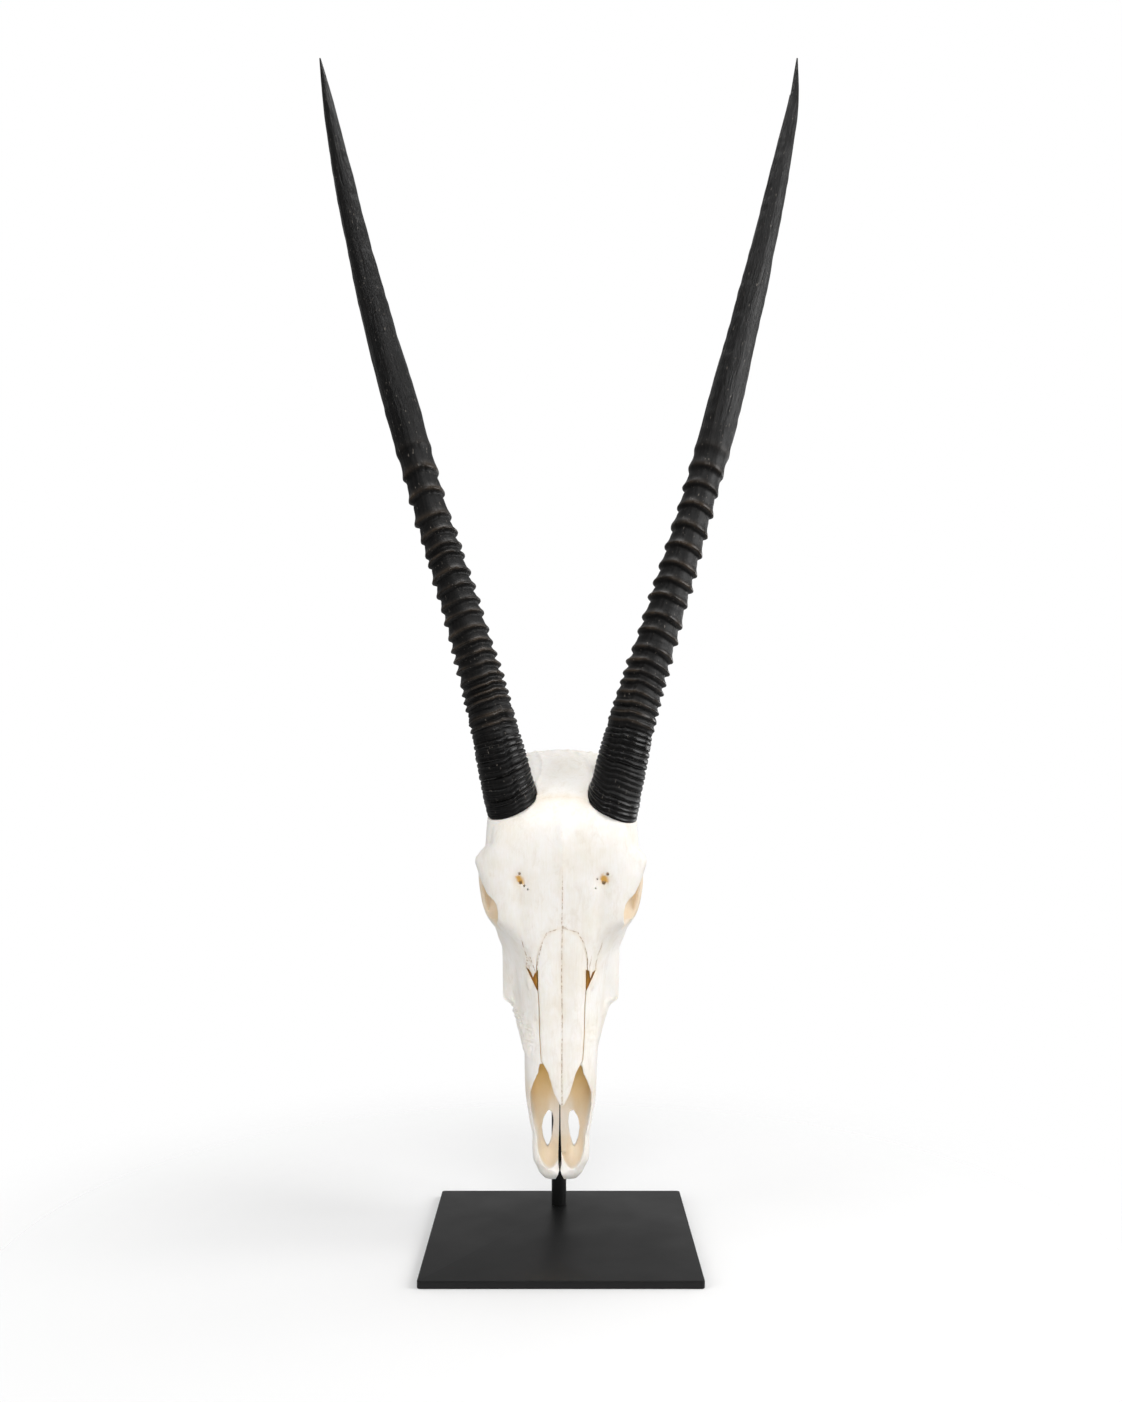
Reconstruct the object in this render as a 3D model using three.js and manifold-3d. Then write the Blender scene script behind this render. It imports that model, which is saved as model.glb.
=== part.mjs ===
// A gemsbok skull with both horns, carried by a bent steel post on a square base plate.
//
// Millimetres, +Z up. The origin is the centre of the base plate's underside. The face looks
// along -Y, its nose points down, and +X is to the right of someone who faces it.

import * as THREE from "three";
import { mergeVertices } from "three/addons/utils/BufferGeometryUtils.js";
import Module from "manifold-3d";

const wasm = await Module();
wasm.setup();

// ---------------------------------------------------------------- driving dimensions

const FIT_GAP = 0.3; // clear gap between pieces that touch

// Stand
const PLATE_SIDE = 250;
const PLATE_THICKNESS = 7;
const PLATE_CORNER = 3;
const PLATE_BEVEL = 0.8;
const POST_DIAMETER = 15;
const POST_X = -2; // the post stands a little left of centre
const POST_Y = 80.7;
const POST_BEND_RADIUS = 30; // of the post's axis
const POST_ARM_HEIGHT = 436; // axis of the level arm that enters the skull
const POST_ARM_END_Y = -4; // inside the braincase
const POST_SIDES = 14;
const POST_BEND_STEPS = 8;
const SCREW_DIAMETER = 8;
const SCREW_HEAD_DIAMETER = 16;
const SCREW_HEAD_DEPTH = 4;
const SCREW_RIM = 0.8; // straight rim of the countersunk head
const SOCKET_RADIUS = 2.6;
const SOCKET_DEPTH = 2.5;
const SCREW_LENGTH = 22;
const SCREW_RECESS = 0.6; // the head lies this far inside the underside
const SCREW_SIDES = 12;

// Skull. Heights in the head's own frame are measured from the lowest point of the nose.
const NOSE_HEIGHT = 60;
const HEAD_LENGTH = 409;
const BONE_WALL = 3.5; // round the nasal cavity
const CAVITY_START = 18; // heights between which the nasal cavity runs
const CAVITY_END = 236;
const CAVITY_DEEPEST_Y = 7; // in front of the tooth roots
const CAVITY_WIDEST = 36; // half width
const FLOOR_WALL = 4.5; // bone under the nasal cavity
// Where a half ring gets a corner, counted in its eight points: more on the side of the face.
const RING_STOPS = [0, 1, 1.5, 2, 2.5, 3, 4, 5, 6, 7];
const CAVITY_STOPS = [0, 1, 2, 3, 4, 5, 6, 7];
const RING_TENSION = 0.42;
const MIDLINE_X = 1; // seam between the nasal bones
const PREMAXILLA_SEAM_X = -1;
const NASAL_BACK_Y = -51; // how deep the nasal bones reach
const NASAL_ENDS = [78.5, 243.5]; // heights of their tips and roots on the midline
const NASAL_SLIT = 0.7; // open slit beside each nasal bone
const SUTURE_HEIGHT = 70; // where the premaxilla meets the upper jaw, at Y = 0
const SUTURE_SLOPE = 0.75; // and how fast that seam climbs towards the face
const HEAD_REACH = 100; // more than the head reaches from its middle line, for the tools that cut it

// Horns
const HORN_SIDES = 10;
const HORN_LENGTH = 830; // that the taper is given for
const HORN_BASE_RADIUS = 25.4;
const HORN_DEPTH_RATIO = 1.05; // a horn is a little deeper than wide
const PEDICLE_RADIUS = 23.6; // the bone stump that a horn stands on
const PEDICLE_ROOT = 52; // how far down the stump starts, inside the skull
const RING_LAST = 372; // distance from the base where the last ridge fades
const RIDGE_FIRST_SPACING = 5.8;
const RIDGE_GROWTH = 0.055; // the spacing grows by this much per millimetre
const RIDGE_HEIGHT_BASE = 1.0;
const RIDGE_HEIGHT_MIDDLE = 2.6;
const TILT_BLEND = 90; // the base's slant dies out over this length
const SPEAR_STEPS = 9; // rings on the smooth part above the ridges

// Teeth
const TOOTH_ROW_START = 132.5;
const TOOTH_ROW_END = 236;
const TOOTH_ROW_X = [25.5, 34.5]; // distance from the middle at the row's two ends
const TOOTH_GAP = 0.9;
const TOOTH_ROOT = 5; // length held in its socket
const ALVEOLAR_Y = 27;

// ---------------------------------------------------------------- materials

const FINISHES = {
  bone: { color: 0xece5d8, roughness: 0.62, metalness: 0 },
  horn: { color: 0x1d1b1a, roughness: 0.48, metalness: 0 },
  enamel: { color: 0xd9c9a6, roughness: 0.35, metalness: 0 },
  steel: { color: 0x242425, roughness: 0.55, metalness: 0.1 },
  screw: { color: 0x3a3b3d, roughness: 0.4, metalness: 0.8 },
};

// ---------------------------------------------------------------- solids

/** Turns a closed three.js geometry into a manifold solid. */
function solid(geometry) {
  const bare = geometry.clone();
  bare.deleteAttribute("normal");
  bare.deleteAttribute("uv");
  const welded = mergeVertices(bare, 1e-4);
  const mesh = new wasm.Mesh({
    numProp: 3,
    vertProperties: new Float32Array(welded.attributes.position.array),
    triVerts: new Uint32Array(welded.index.array),
  });
  return new wasm.Manifold(mesh);
}

/** Turns a manifold solid back into a flat-shaded geometry. */
function geometryOf(manifold) {
  const mesh = manifold.getMesh();
  const geometry = new THREE.BufferGeometry();
  geometry.setAttribute("position", new THREE.BufferAttribute(mesh.vertProperties.slice(), 3));
  geometry.setIndex(new THREE.BufferAttribute(mesh.triVerts.slice(), 1));
  geometry.computeVertexNormals();
  return geometry;
}

function union(solids) {
  return solids.reduce((whole, piece) => whole.add(piece));
}

function cut(body, tools) {
  return tools.reduce((rest, tool) => rest.subtract(tool), body);
}

/**
 * A closed skin over rings of points. place(level, turn, reach) gives a point: turn runs from
 * 0 to 1 round the ring, from the face side towards +X, and reach is 0 only at an end's centre.
 */
function loft(levels, sides, place) {
  const geometry = new THREE.CylinderGeometry(1, 1, 1, sides, levels - 1);
  const position = geometry.attributes.position;
  const vertex = new THREE.Vector3();
  for (let i = 0; i < position.count; i += 1) {
    vertex.fromBufferAttribute(position, i);
    const level = Math.round((vertex.y + 0.5) * (levels - 1));
    const reach = Math.hypot(vertex.x, vertex.z) > 0.5 ? 1 : 0;
    const angle = Math.atan2(-vertex.z, vertex.x) + Math.PI / 2;
    const step = Math.round((angle / (2 * Math.PI)) * sides + sides) % sides;
    const point = place(level, step / sides, reach);
    position.setXYZ(i, point.x, point.y, point.z);
  }
  return geometry;
}

/** Tapered or straight round bar from one point to another. */
function bar(from, to, radiusFrom, radiusTo, sides) {
  const axis = new THREE.Vector3().subVectors(to, from);
  const geometry = new THREE.CylinderGeometry(radiusTo, radiusFrom, axis.length(), sides);
  const turn = new THREE.Quaternion();
  turn.setFromUnitVectors(new THREE.Vector3(0, 1, 0), axis.clone().normalize());
  geometry.applyQuaternion(turn);
  const middle = new THREE.Vector3().addVectors(from, to).multiplyScalar(0.5);
  geometry.translate(middle.x, middle.y, middle.z);
  return geometry;
}

/** Solid ellipsoid with its poles along Z, on one side of the head. */
function ellipsoid({ centre: [x, y, z], radii, across, along }, side = 1) {
  const geometry = new THREE.SphereGeometry(1, across, along);
  geometry.rotateX(Math.PI / 2);
  geometry.scale(...radii);
  geometry.translate(x * side, y, z);
  return solid(geometry);
}

/** Solid prism along Y over an outline of [x, height] points. */
function prism(outline, fromY, toY) {
  const shape = new THREE.Shape(outline.map(([x, z]) => new THREE.Vector2(x, z)));
  const geometry = new THREE.ExtrudeGeometry(shape, { depth: toY - fromY, bevelEnabled: false });
  geometry.rotateX(Math.PI / 2);
  geometry.translate(0, toY, 0);
  return solid(geometry);
}

/** Moves each point of a closed outline outwards by margin. */
function grown(outline, margin) {
  const count = outline.length;
  const area = outline.reduce((sum, [x, z], i) => {
    const [nextX, nextZ] = outline[(i + 1) % count];
    return sum + x * nextZ - nextX * z;
  }, 0);
  const outward = Math.sign(area) * margin;
  return outline.map(([x, z], i) => {
    const [beforeX, beforeZ] = outline[(i + count - 1) % count];
    const [afterX, afterZ] = outline[(i + 1) % count];
    const edge = new THREE.Vector2(afterX - beforeX, afterZ - beforeZ).normalize();
    return [x + edge.y * outward, z - edge.x * outward];
  });
}

function mirrored(outline, side) {
  return outline.map(([x, z]) => [x * side, z]);
}

const SIDES = [-1, 1];

function nameOf(side) {
  return side < 0 ? "left" : "right";
}

/** Value at a height on a profile of [height, value] points, straight between them. */
function along(profile, height) {
  const next = profile.findIndex(([at]) => at >= height);
  if (next < 0) return profile[profile.length - 1][1];
  if (next === 0) return profile[0][1];
  const [low, from] = profile[next - 1];
  const [high, to] = profile[next];
  return THREE.MathUtils.lerp(from, to, (height - low) / (high - low));
}

// ---------------------------------------------------------------- stand

function basePlate() {
  const half = PLATE_SIDE / 2 - PLATE_BEVEL;
  const corner = PLATE_CORNER;
  const shape = new THREE.Shape();
  shape.moveTo(-half + corner, -half);
  shape.lineTo(half - corner, -half);
  shape.absarc(half - corner, -half + corner, corner, -Math.PI / 2, 0);
  shape.lineTo(half, half - corner);
  shape.absarc(half - corner, half - corner, corner, 0, Math.PI / 2);
  shape.lineTo(-half + corner, half);
  shape.absarc(-half + corner, half - corner, corner, Math.PI / 2, Math.PI);
  shape.lineTo(-half, -half + corner);
  shape.absarc(-half + corner, -half + corner, corner, Math.PI, 1.5 * Math.PI);
  const slab = new THREE.ExtrudeGeometry(shape, {
    depth: PLATE_THICKNESS - 2 * PLATE_BEVEL,
    bevelThickness: PLATE_BEVEL,
    bevelSize: PLATE_BEVEL,
    bevelSegments: 1,
    curveSegments: 3,
  });
  slab.translate(0, 0, PLATE_BEVEL);
  return solid(slab).subtract(solid(screwShape(FIT_GAP)));
}

/** The screw's outline turned about its axis; grow widens it into the hole that it needs. */
function screwShape(grow) {
  const shank = SCREW_DIAMETER / 2 + grow;
  const head = SCREW_HEAD_DIAMETER / 2 + grow;
  const bottom = grow > 0 ? -1 : SCREW_RECESS;
  const headTop = SCREW_RECESS + SCREW_HEAD_DEPTH + grow;
  const top = SCREW_RECESS + SCREW_LENGTH + grow;
  const rim = SCREW_RECESS + SCREW_RIM;
  const outline = [[0, bottom], [head, bottom], [head, rim], [shank, headTop], [shank, top], [0, top]];
  const profile = outline.map(([r, z]) => new THREE.Vector2(r, z));
  const geometry = new THREE.LatheGeometry(profile, SCREW_SIDES);
  geometry.rotateX(Math.PI / 2);
  geometry.translate(POST_X, POST_Y, 0);
  return geometry;
}

/** Countersunk screw with a hexagon socket. */
function postScrew() {
  const below = new THREE.Vector3(POST_X, POST_Y, -1);
  const end = new THREE.Vector3(POST_X, POST_Y, SCREW_RECESS + SOCKET_DEPTH);
  const socket = bar(below, end, SOCKET_RADIUS, SOCKET_RADIUS, 6);
  return solid(screwShape(0)).subtract(solid(socket));
}

/** Centres of the post's rings: up, round the bend, then level into the skull. */
function postRoute() {
  const bendStart = POST_ARM_HEIGHT - POST_BEND_RADIUS;
  const route = [new THREE.Vector3(POST_X, POST_Y, PLATE_THICKNESS + FIT_GAP)];
  for (let i = 0; i <= POST_BEND_STEPS; i += 1) {
    const angle = (i / POST_BEND_STEPS) * (Math.PI / 2);
    const y = POST_Y - POST_BEND_RADIUS * (1 - Math.cos(angle));
    const z = bendStart + POST_BEND_RADIUS * Math.sin(angle);
    route.push(new THREE.Vector3(POST_X, y, z));
  }
  route.push(new THREE.Vector3(POST_X, POST_ARM_END_Y, POST_ARM_HEIGHT));
  return route;
}

function postShape(radius) {
  const route = postRoute();
  return loft(route.length, POST_SIDES, (level, turn, reach) => {
    const bend = THREE.MathUtils.clamp((level - 1) / POST_BEND_STEPS, 0, 1) * (Math.PI / 2);
    const angle = turn * 2 * Math.PI - Math.PI / 2;
    const across = reach * radius * Math.cos(angle);
    const outward = reach * radius * Math.sin(angle);
    const centre = route[level];
    return new THREE.Vector3(
      centre.x + across,
      centre.y + outward * Math.cos(bend),
      centre.z + outward * Math.sin(bend));
  });
}

function post() {
  return solid(postShape(POST_DIAMETER / 2)).subtract(solid(screwShape(FIT_GAP)));
}

// ---------------------------------------------------------------- skull body

// Half rings of the head from the nose up: height, then [x, y] points from the middle of the face
// round the side to the middle of the palate or skull base. The seven stretches are the roof, its
// edge, the upper side, the widest side, below it, the outer and the inner edge of the tooth row.
const HEAD_RINGS = [
  [0.5, [[0, -16], [8, -16], [13, -14], [14.8, -10], [13, -6], [10, -4.5], [6, -4], [0, -4]]],
  [6, [[0, -21], [10, -20.5], [17.5, -17], [20.3, -11], [19, -4], [15, -1.5], [9, -0.5], [0, -0.5]]],
  [20, [[0, -25], [14, -24.5], [23.5, -21], [26.6, -12], [25, -3], [20, 2], [11, 3.5], [0, 4]]],
  [41, [[0, -29], [16, -28.5], [24.5, -23], [27, -11], [25, -1], [20, 5], [11, 6], [0, 6]]],
  [52, [[0, -38], [17, -32], [26.5, -25], [29.3, -10], [27, 1], [21, 7], [12, 8], [0, 8]]],
  [76, [[0, -54], [19, -45], [30, -31], [33.4, -7], [31, 6], [25, 13], [14, 13], [0, 12]]],
  [90, [[0, -58], [19.5, -51], [30.5, -35], [34.4, -5], [32, 9], [26, 17], [15, 16], [0, 14]]],
  [122, [[0, -62], [20.5, -57], [32, -39], [35.6, -1], [34, 15], [29, 25], [18, 22], [0, 17.5]]],
  [134, [[0, -63], [21, -58], [33, -40], [38.7, 0], [36, 16], [32, 27], [20, 24], [0, 18]]],
  [151, [[0, -64], [21.5, -59.5], [37, -30], [43.6, 2], [39, 16], [35.5, 27], [19, 27], [0, 19]]],
  [160, [[0, -64.5], [22, -60], [39, -26], [47.5, 5], [42, 15], [37.5, 27], [19, 27], [0, 19]]],
  [168.5, [[0, -65], [22.5, -60.5], [41, -23], [56.5, 6], [46, 14], [39, 27], [20, 27], [0, 19]]],
  [215, [[0, -68], [28, -63], [46, -26], [56.9, 2], [50, 14], [44.5, 27], [24, 27], [0, 19]]],
  [229, [[0, -70], [33, -65], [50, -35], [61.5, 0], [53, 14], [45, 27], [25, 27], [0, 19]]],
  [250, [[0, -72], [42, -69], [61, -56], [71, -3], [58, 10], [38, 16], [20, 20], [0, 20]]],
  [264, [[0, -73.5], [46, -70.5], [66, -58], [75.5, -5], [62, 9], [34, 16], [16, 24], [0, 24]]],
  [293, [[0, -76], [54, -72], [75, -58], [78.3, -22], [68, 6], [38, 20], [20, 32], [0, 31]]],
  [304, [[0, -76.5], [56, -72], [77, -57], [80, -40], [66, 0], [42, 20], [22, 35], [0, 34]]],
  [313, [[0, -76.5], [57, -71.5], [72, -58], [75, -42], [56, -6], [42, 20], [24, 38], [0, 37]]],
  [322, [[0, -76], [56, -70.5], [66, -57], [68.2, -42], [52, -8], [42, 22], [24, 40], [0, 39]]],
  [337, [[0, -73], [54, -67], [65, -52], [66.5, -34], [48, -6], [42, 24], [24, 42], [0, 41]]],
  [350, [[0, -66], [40, -62], [56, -48], [58, -28], [46, -4], [43, 26], [25, 44], [0, 42]]],
  [362, [[0, -56], [30, -53], [44, -42], [49, -20], [46, 0], [46, 28], [26, 44], [0, 42]]],
  [378, [[0, -35], [27, -33.5], [42, -27], [48, -10], [50, 8], [48, 28], [28, 40], [0, 36]]],
  [393, [[0, -14], [26, -13.5], [42, -9], [50, 2], [52, 12], [45, 22], [26, 27], [0, 25]]],
  [402, [[0, -2], [24, -1.5], [38, 3], [45, 8], [44, 12], [36, 17], [20, 19], [0, 18]]],
  [407, [[0, 5], [16, 5.5], [25, 7], [31, 9], [30, 11.5], [24, 14], [14, 15], [0, 15]]],
  [HEAD_LENGTH, [[0, 8], [7, 8.2], [11, 9], [14, 10], [13, 11.2], [10, 12.3], [6, 13], [0, 13]]],
];

/** Smooth closed curve through a half ring and its mirror image. */
function ringCurve(height, half) {
  const points = half.map(([x, y]) => new THREE.Vector3(x, y, height));
  const back = half.slice(1, -1).reverse();
  points.push(...back.map(([x, y]) => new THREE.Vector3(-x, y, height)));
  return new THREE.CatmullRomCurve3(points, true, "catmullrom", RING_TENSION);
}

/** Skin through half rings, closed by flat ends, with corners at the given stops. */
function ringLoft(rings, stops) {
  const curves = rings.map(([height, half]) => ringCurve(height, half));
  const lastStop = stops[stops.length - 1];
  const mirroredStops = stops.slice(1, -1).reverse().map((stop) => 2 * lastStop - stop);
  const allStops = [...stops, ...mirroredStops];
  return loft(rings.length, allStops.length, (level, turn, reach) => {
    const [height, half] = rings[level];
    const stop = allStops[Math.round(turn * allStops.length)];
    if (reach > 0) return curves[level].getPoint(stop / (2 * lastStop));
    return new THREE.Vector3(0, (half[0][1] + half[half.length - 1][1]) / 2, height);
  });
}

/** The nasal cavity follows the head's rings one wall thickness further in. */
function nasalCavity() {
  const inside = HEAD_RINGS.filter(([height]) => height > CAVITY_START && height < CAVITY_END);
  const rings = inside.map(([height, half]) => {
    const floor = Math.min(half[7][1] - FLOOR_WALL, CAVITY_DEEPEST_Y);
    const width = (x) => Math.max(Math.min(x, CAVITY_WIDEST + BONE_WALL) - BONE_WALL, 1);
    const below = (y) => Math.min(y, floor);
    return [height, [
      [0, half[0][1] + BONE_WALL],
      [half[1][0], half[1][1] + BONE_WALL + 0.5],
      [width(half[2][0]), half[2][1] + 1],
      [width(half[3][0]), below(half[3][1] - 6)],
      [width(half[4][0]) - 1, below(half[4][1] - 8)],
      [width(half[5][0]) - 3, below(half[5][1]) - 1],
      [half[6][0] * 0.7, floor],
      [0, floor],
    ]];
  });
  return ringLoft(rings, CAVITY_STOPS);
}

// ---------------------------------------------------------------- openings in the face

// Outlines seen from the front as [x, height] points, for the right half.
const NOSTRIL_EDGE = [
  [19.3, 118], [21, 109], [25, 99], [28.3, 88], [28, 72], [25, 54], [22, 41], [20, 31], [15, 19],
  [4.5, 8.5],
];
const NOSTRIL_BACK_Y = -8;
const NASAL_EDGE = [
  [2.4, 80], [7.2, 90], [13, 110], [19, 121], [20.4, 145], [21, 172], [23.3, 204], [22.8, 217],
  [18.8, 231], [14, 238.5], [2.6, 243.5],
];
const LACRIMAL_GAP = [[22, 184], [33.5, 204.5], [22, 206]];
const LACRIMAL_BACK_Y = -30;
const PALATE_HOLE = [
  [12.5, 28], [16.8, 37], [18, 46], [16.5, 54], [12, 59], [8.6, 57], [7.6, 50], [8.8, 38],
];
const PALATE_FRONT_Y = -14;
// Front rim of the eye socket, closed well outside the head.
const ORBIT_RIM = [
  [77, 287], [72.5, 280], [68.4, 274], [62.5, 269], [59.4, 264], [58.2, 257], [58.6, 249],
  [60.5, 243.5], [66, 241], [90, 240], [90, 290],
];
const ORBIT_RIM_BACK_Y = -28;
const BROW_HOLE = { x: 39.5, height: 289.5, radius: 2.6, smallRadius: 1.3, rise: 8, depth: 11 };

/** Half of the piriform opening of the nose as seen from the front. */
function nostrilOutline(side) {
  const [, top] = NOSTRIL_EDGE[0];
  const [, bottom] = NOSTRIL_EDGE[NOSTRIL_EDGE.length - 1];
  return mirrored([...NOSTRIL_EDGE, [0, bottom], [0, top]], side);
}

function nasalOutline(side) {
  const inner = MIDLINE_X + (side * FIT_GAP) / 2;
  const edge = mirrored(NASAL_EDGE, side).map(([x, z]) => [x + MIDLINE_X, z]);
  const [tip, root] = NASAL_ENDS;
  return [...edge, [inner, root], [inner, tip]];
}

/** Gap between the two premaxillae: a thin wedge, a pinch, then a notch at the tip. */
function seamOutline() {
  const half = [[0.6, 76], [2.4, 16], [0.7, 10.5], [2.5, 6], [6, -1]];
  const right = half.map(([x, z]) => [PREMAXILLA_SEAM_X + x, z]);
  const left = half.map(([x, z]) => [PREMAXILLA_SEAM_X - x, z]).reverse();
  return [...right, ...left];
}

/** Everything on the nose side of the sloping premaxilla seam, moved by shift along Z. */
function premaxillaRegion(side, shift) {
  const seam = (y) => SUTURE_HEIGHT - SUTURE_SLOPE * y + shift;
  const shape = new THREE.Shape();
  shape.moveTo(-HEAD_REACH, -1);
  shape.lineTo(SUTURE_HEIGHT, -1);
  shape.lineTo(SUTURE_HEIGHT, seam(SUTURE_HEIGHT));
  shape.lineTo(-HEAD_REACH, seam(-HEAD_REACH));
  const geometry = new THREE.ExtrudeGeometry(shape, { depth: HEAD_REACH, bevelEnabled: false });
  // shape (y, z) with its depth along x
  geometry.rotateX(Math.PI / 2);
  geometry.rotateZ(Math.PI / 2);
  geometry.translate(side > 0 ? PREMAXILLA_SEAM_X : PREMAXILLA_SEAM_X - HEAD_REACH, 0, 0);
  return solid(geometry);
}

// ---------------------------------------------------------------- pieces added to the skull body

// For the right side: lumps by centre and radii, and bars by their two ends and radii.
const CONDYLE = { centre: [22.5, 50, 369], radii: [11, 13, 16], across: 8, along: 6 };
const BULLA = { centre: [24, 42, 334], radii: [10, 13, 14], across: 6, along: 6 };
const PTERYGOID = { centre: [14.5, 24, 268], radii: [2.6, 22, 34], across: 6, along: 4 };
const EAR_PROCESS = { ends: [[40, 18, 366], [34, 66, 352]], radii: [13, 3.5] };
const EYE_BAR = { ends: [[74, -34, 302], [73, 6, 298]], radii: [6.5, 5] };
const CHEEK_PATH = [
  [58, 6, 232], [70, 4, 250], [75.5, 3, 272], [76.5, 6, 294], [70, 12, 316], [61, 17, 340], [46, 22, 356],
];
const CHEEK_THICKNESS = 3.6; // half sizes of the cheek bar's section
const CHEEK_DEPTH = 8;
const CHEEK_STEPS = 9;

function sidePoint([x, y, z], side) {
  return new THREE.Vector3(x * side, y, z);
}

function sideBar({ ends: [from, to], radii: [radiusFrom, radiusTo] }, side) {
  return solid(bar(sidePoint(from, side), sidePoint(to, side), radiusFrom, radiusTo, 6));
}

/** Cheek bar from below the eye back to the ear region. */
function cheekArch(side) {
  const curve = new THREE.CatmullRomCurve3(CHEEK_PATH.map((point) => sidePoint(point, side)));
  return solid(loft(CHEEK_STEPS, 6, (level, turn, reach) => {
    const centre = curve.getPoint(level / (CHEEK_STEPS - 1));
    const angle = turn * 2 * Math.PI - Math.PI / 2;
    return new THREE.Vector3(
      centre.x + reach * CHEEK_THICKNESS * Math.cos(angle),
      centre.y + reach * CHEEK_DEPTH * Math.sin(angle),
      centre.z);
  }));
}

/** Bones that stand out of one side of the skull base, with the bar that closes the eye socket. */
function addedParts(side) {
  const lumps = [CONDYLE, BULLA, PTERYGOID].map((lump) => ellipsoid(lump, side));
  const bars = [EAR_PROCESS, EYE_BAR].map((each) => sideBar(each, side));
  return [...lumps, ...bars, cheekArch(side)];
}

/** Bone stump that a horn stands on, left a little long for the horn's room to trim. */
function pedicle(horn) {
  return loft(2, HORN_SIDES, (level, turn, reach) => {
    const angle = turn * 2 * Math.PI - Math.PI / 2;
    const spread = level === 0 ? 1.12 : 1;
    const x = reach * spread * PEDICLE_RADIUS * Math.cos(angle);
    const y = reach * spread * PEDICLE_RADIUS * Math.sin(angle);
    const z = level === 0 ? -PEDICLE_ROOT : horn.slopeX * x + horn.slopeY * y + 1;
    return new THREE.Vector3(x, y, z).add(horn.base);
  });
}

/** Room for the horn's foot, one gap wider than the horn and reaching one gap below it. */
function hornRoom(horn) {
  const { curve, baseNormal } = hornLine(horn);
  const tangent = curve.getTangentAt(0.02);
  const radius = HORN_BASE_RADIUS + 2 * FIT_GAP;
  const levels = 3;
  const room = loft(levels, HORN_SIDES, (level, turn, reach) => {
    const normal = level === 0 ? baseNormal : tangent;
    const centre = curve.getPointAt(level * 0.06).addScaledVector(normal, level === 0 ? -FIT_GAP : 0);
    return ringPoint(hornFrame(centre, normal), radius * reach, turn);
  });
  room.translate(...horn.base.toArray());
  return room;
}

// ---------------------------------------------------------------- teeth

// From the front premolar back: length along the row, width, crown height.
const TEETH = [
  { name: "premolar_2", length: 10, width: 8.5, crown: 7 },
  { name: "premolar_3", length: 12.5, width: 11.5, crown: 10 },
  { name: "premolar_4", length: 12.5, width: 13.5, crown: 12 },
  { name: "molar_1", length: 18, width: 15.5, crown: 13 },
  { name: "molar_2", length: 22, width: 16.5, crown: 14.5 },
  { name: "molar_3", length: 23, width: 15.5, crown: 14 },
];

/** Places of one side's teeth, in a row that spreads slightly towards the back. */
function toothPlaces(side) {
  let height = TOOTH_ROW_START;
  return TEETH.map((tooth) => {
    const middle = height + tooth.length / 2;
    height += tooth.length + TOOTH_GAP;
    const x = THREE.MathUtils.mapLinear(middle, TOOTH_ROW_START, TOOTH_ROW_END, ...TOOTH_ROW_X);
    return { ...tooth, side, x, height: middle };
  });
}

/**
 * Skin of a tooth, or of its socket, about the tooth's place on the jaw's edge. Each level is a
 * distance out of the jaw with a share of the full outline; a molar's outline has two lobes.
 */
function toothSkin(tooth, levels, grow) {
  const twoLobes = tooth.name.startsWith("molar");
  const sides = twoLobes ? 12 : 8;
  const topDip = 1.2; // of the chewing face's middle
  return loft(levels.length, sides, (level, turn, reach) => {
    const [out, share] = levels[level];
    const angle = turn * 2 * Math.PI;
    const cos = Math.cos(angle);
    const sin = Math.sin(angle);
    const corner = (Math.abs(cos) ** 4 + Math.abs(sin) ** 4) ** -0.25; // a square with round corners
    const waist = twoLobes && Math.abs(sin) < 0.1 ? 0.86 : 1;
    const across = (tooth.width / 2) * share * corner * waist + grow;
    const lengthwise = (tooth.length / 2) * share * corner + grow;
    const dip = level === levels.length - 1 ? (1 - reach) * topDip : 0;
    return new THREE.Vector3(reach * across * cos, out - dip, -reach * lengthwise * sin);
  });
}

function toothShape(tooth) {
  const levels = [[-TOOTH_ROOT, 0.84], [0, 0.98], [tooth.crown * 0.6, 1], [tooth.crown, 0.88]];
  return toothSkin(tooth, levels, 0);
}

function socketShape(tooth) {
  return toothSkin(tooth, [[-TOOTH_ROOT - FIT_GAP, 0.9], [TOOTH_ROOT, 1.04]], FIT_GAP);
}

// ---------------------------------------------------------------- horns

// Centre lines from the base to the tip as [x outwards, y, height] from the base centre, and the
// slant of each base: the rise of its rim per millimetre along X and Y.
const HORNS = [
  {
    name: "horn_left",
    side: -1,
    base: new THREE.Vector3(-46, -42, 355),
    slopeX: 0.42,
    slopeY: 0.38,
    path: [[0, 0, 0], [20.5, 7, 85], [49, 20, 185], [81, 35, 285], [110, 51, 385], [139, 67, 485],
      [165, 82, 585], [188.5, 97, 685], [210.5, 112, 791.5]],
    jitterSeed: 3,
  },
  {
    name: "horn_right",
    side: 1,
    base: new THREE.Vector3(48, -42, 352),
    slopeX: -0.45,
    slopeY: 0.32,
    path: [[0, 0, 0], [21, 7, 88], [52.5, 20, 188], [83, 35, 288], [112, 51, 388], [138.5, 67, 488],
      [163.5, 82, 588], [186.5, 97, 688], [197.5, 104.5, 741], [203.5, 112, 794.5]],
    jitterSeed: 11,
  },
];

// Outer radius over the ridges as a share of the base radius, against distance from the base.
const HORN_TAPER = [
  [0, 1], [40, 0.975], [80, 0.935], [130, 0.87], [190, 0.815], [270, 0.765], [350, 0.72], [440, 0.66],
  [520, 0.585], [600, 0.5], [680, 0.405], [730, 0.33], [770, 0.24], [805, 0.125], [HORN_LENGTH, 0.03],
];

/** Small repeatable offset between -0.5 and 0.5. */
function jitter(seed) {
  const wave = Math.sin(seed * 12.9898) * 43758.5453;
  return wave - Math.floor(wave) - 0.5;
}

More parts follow.
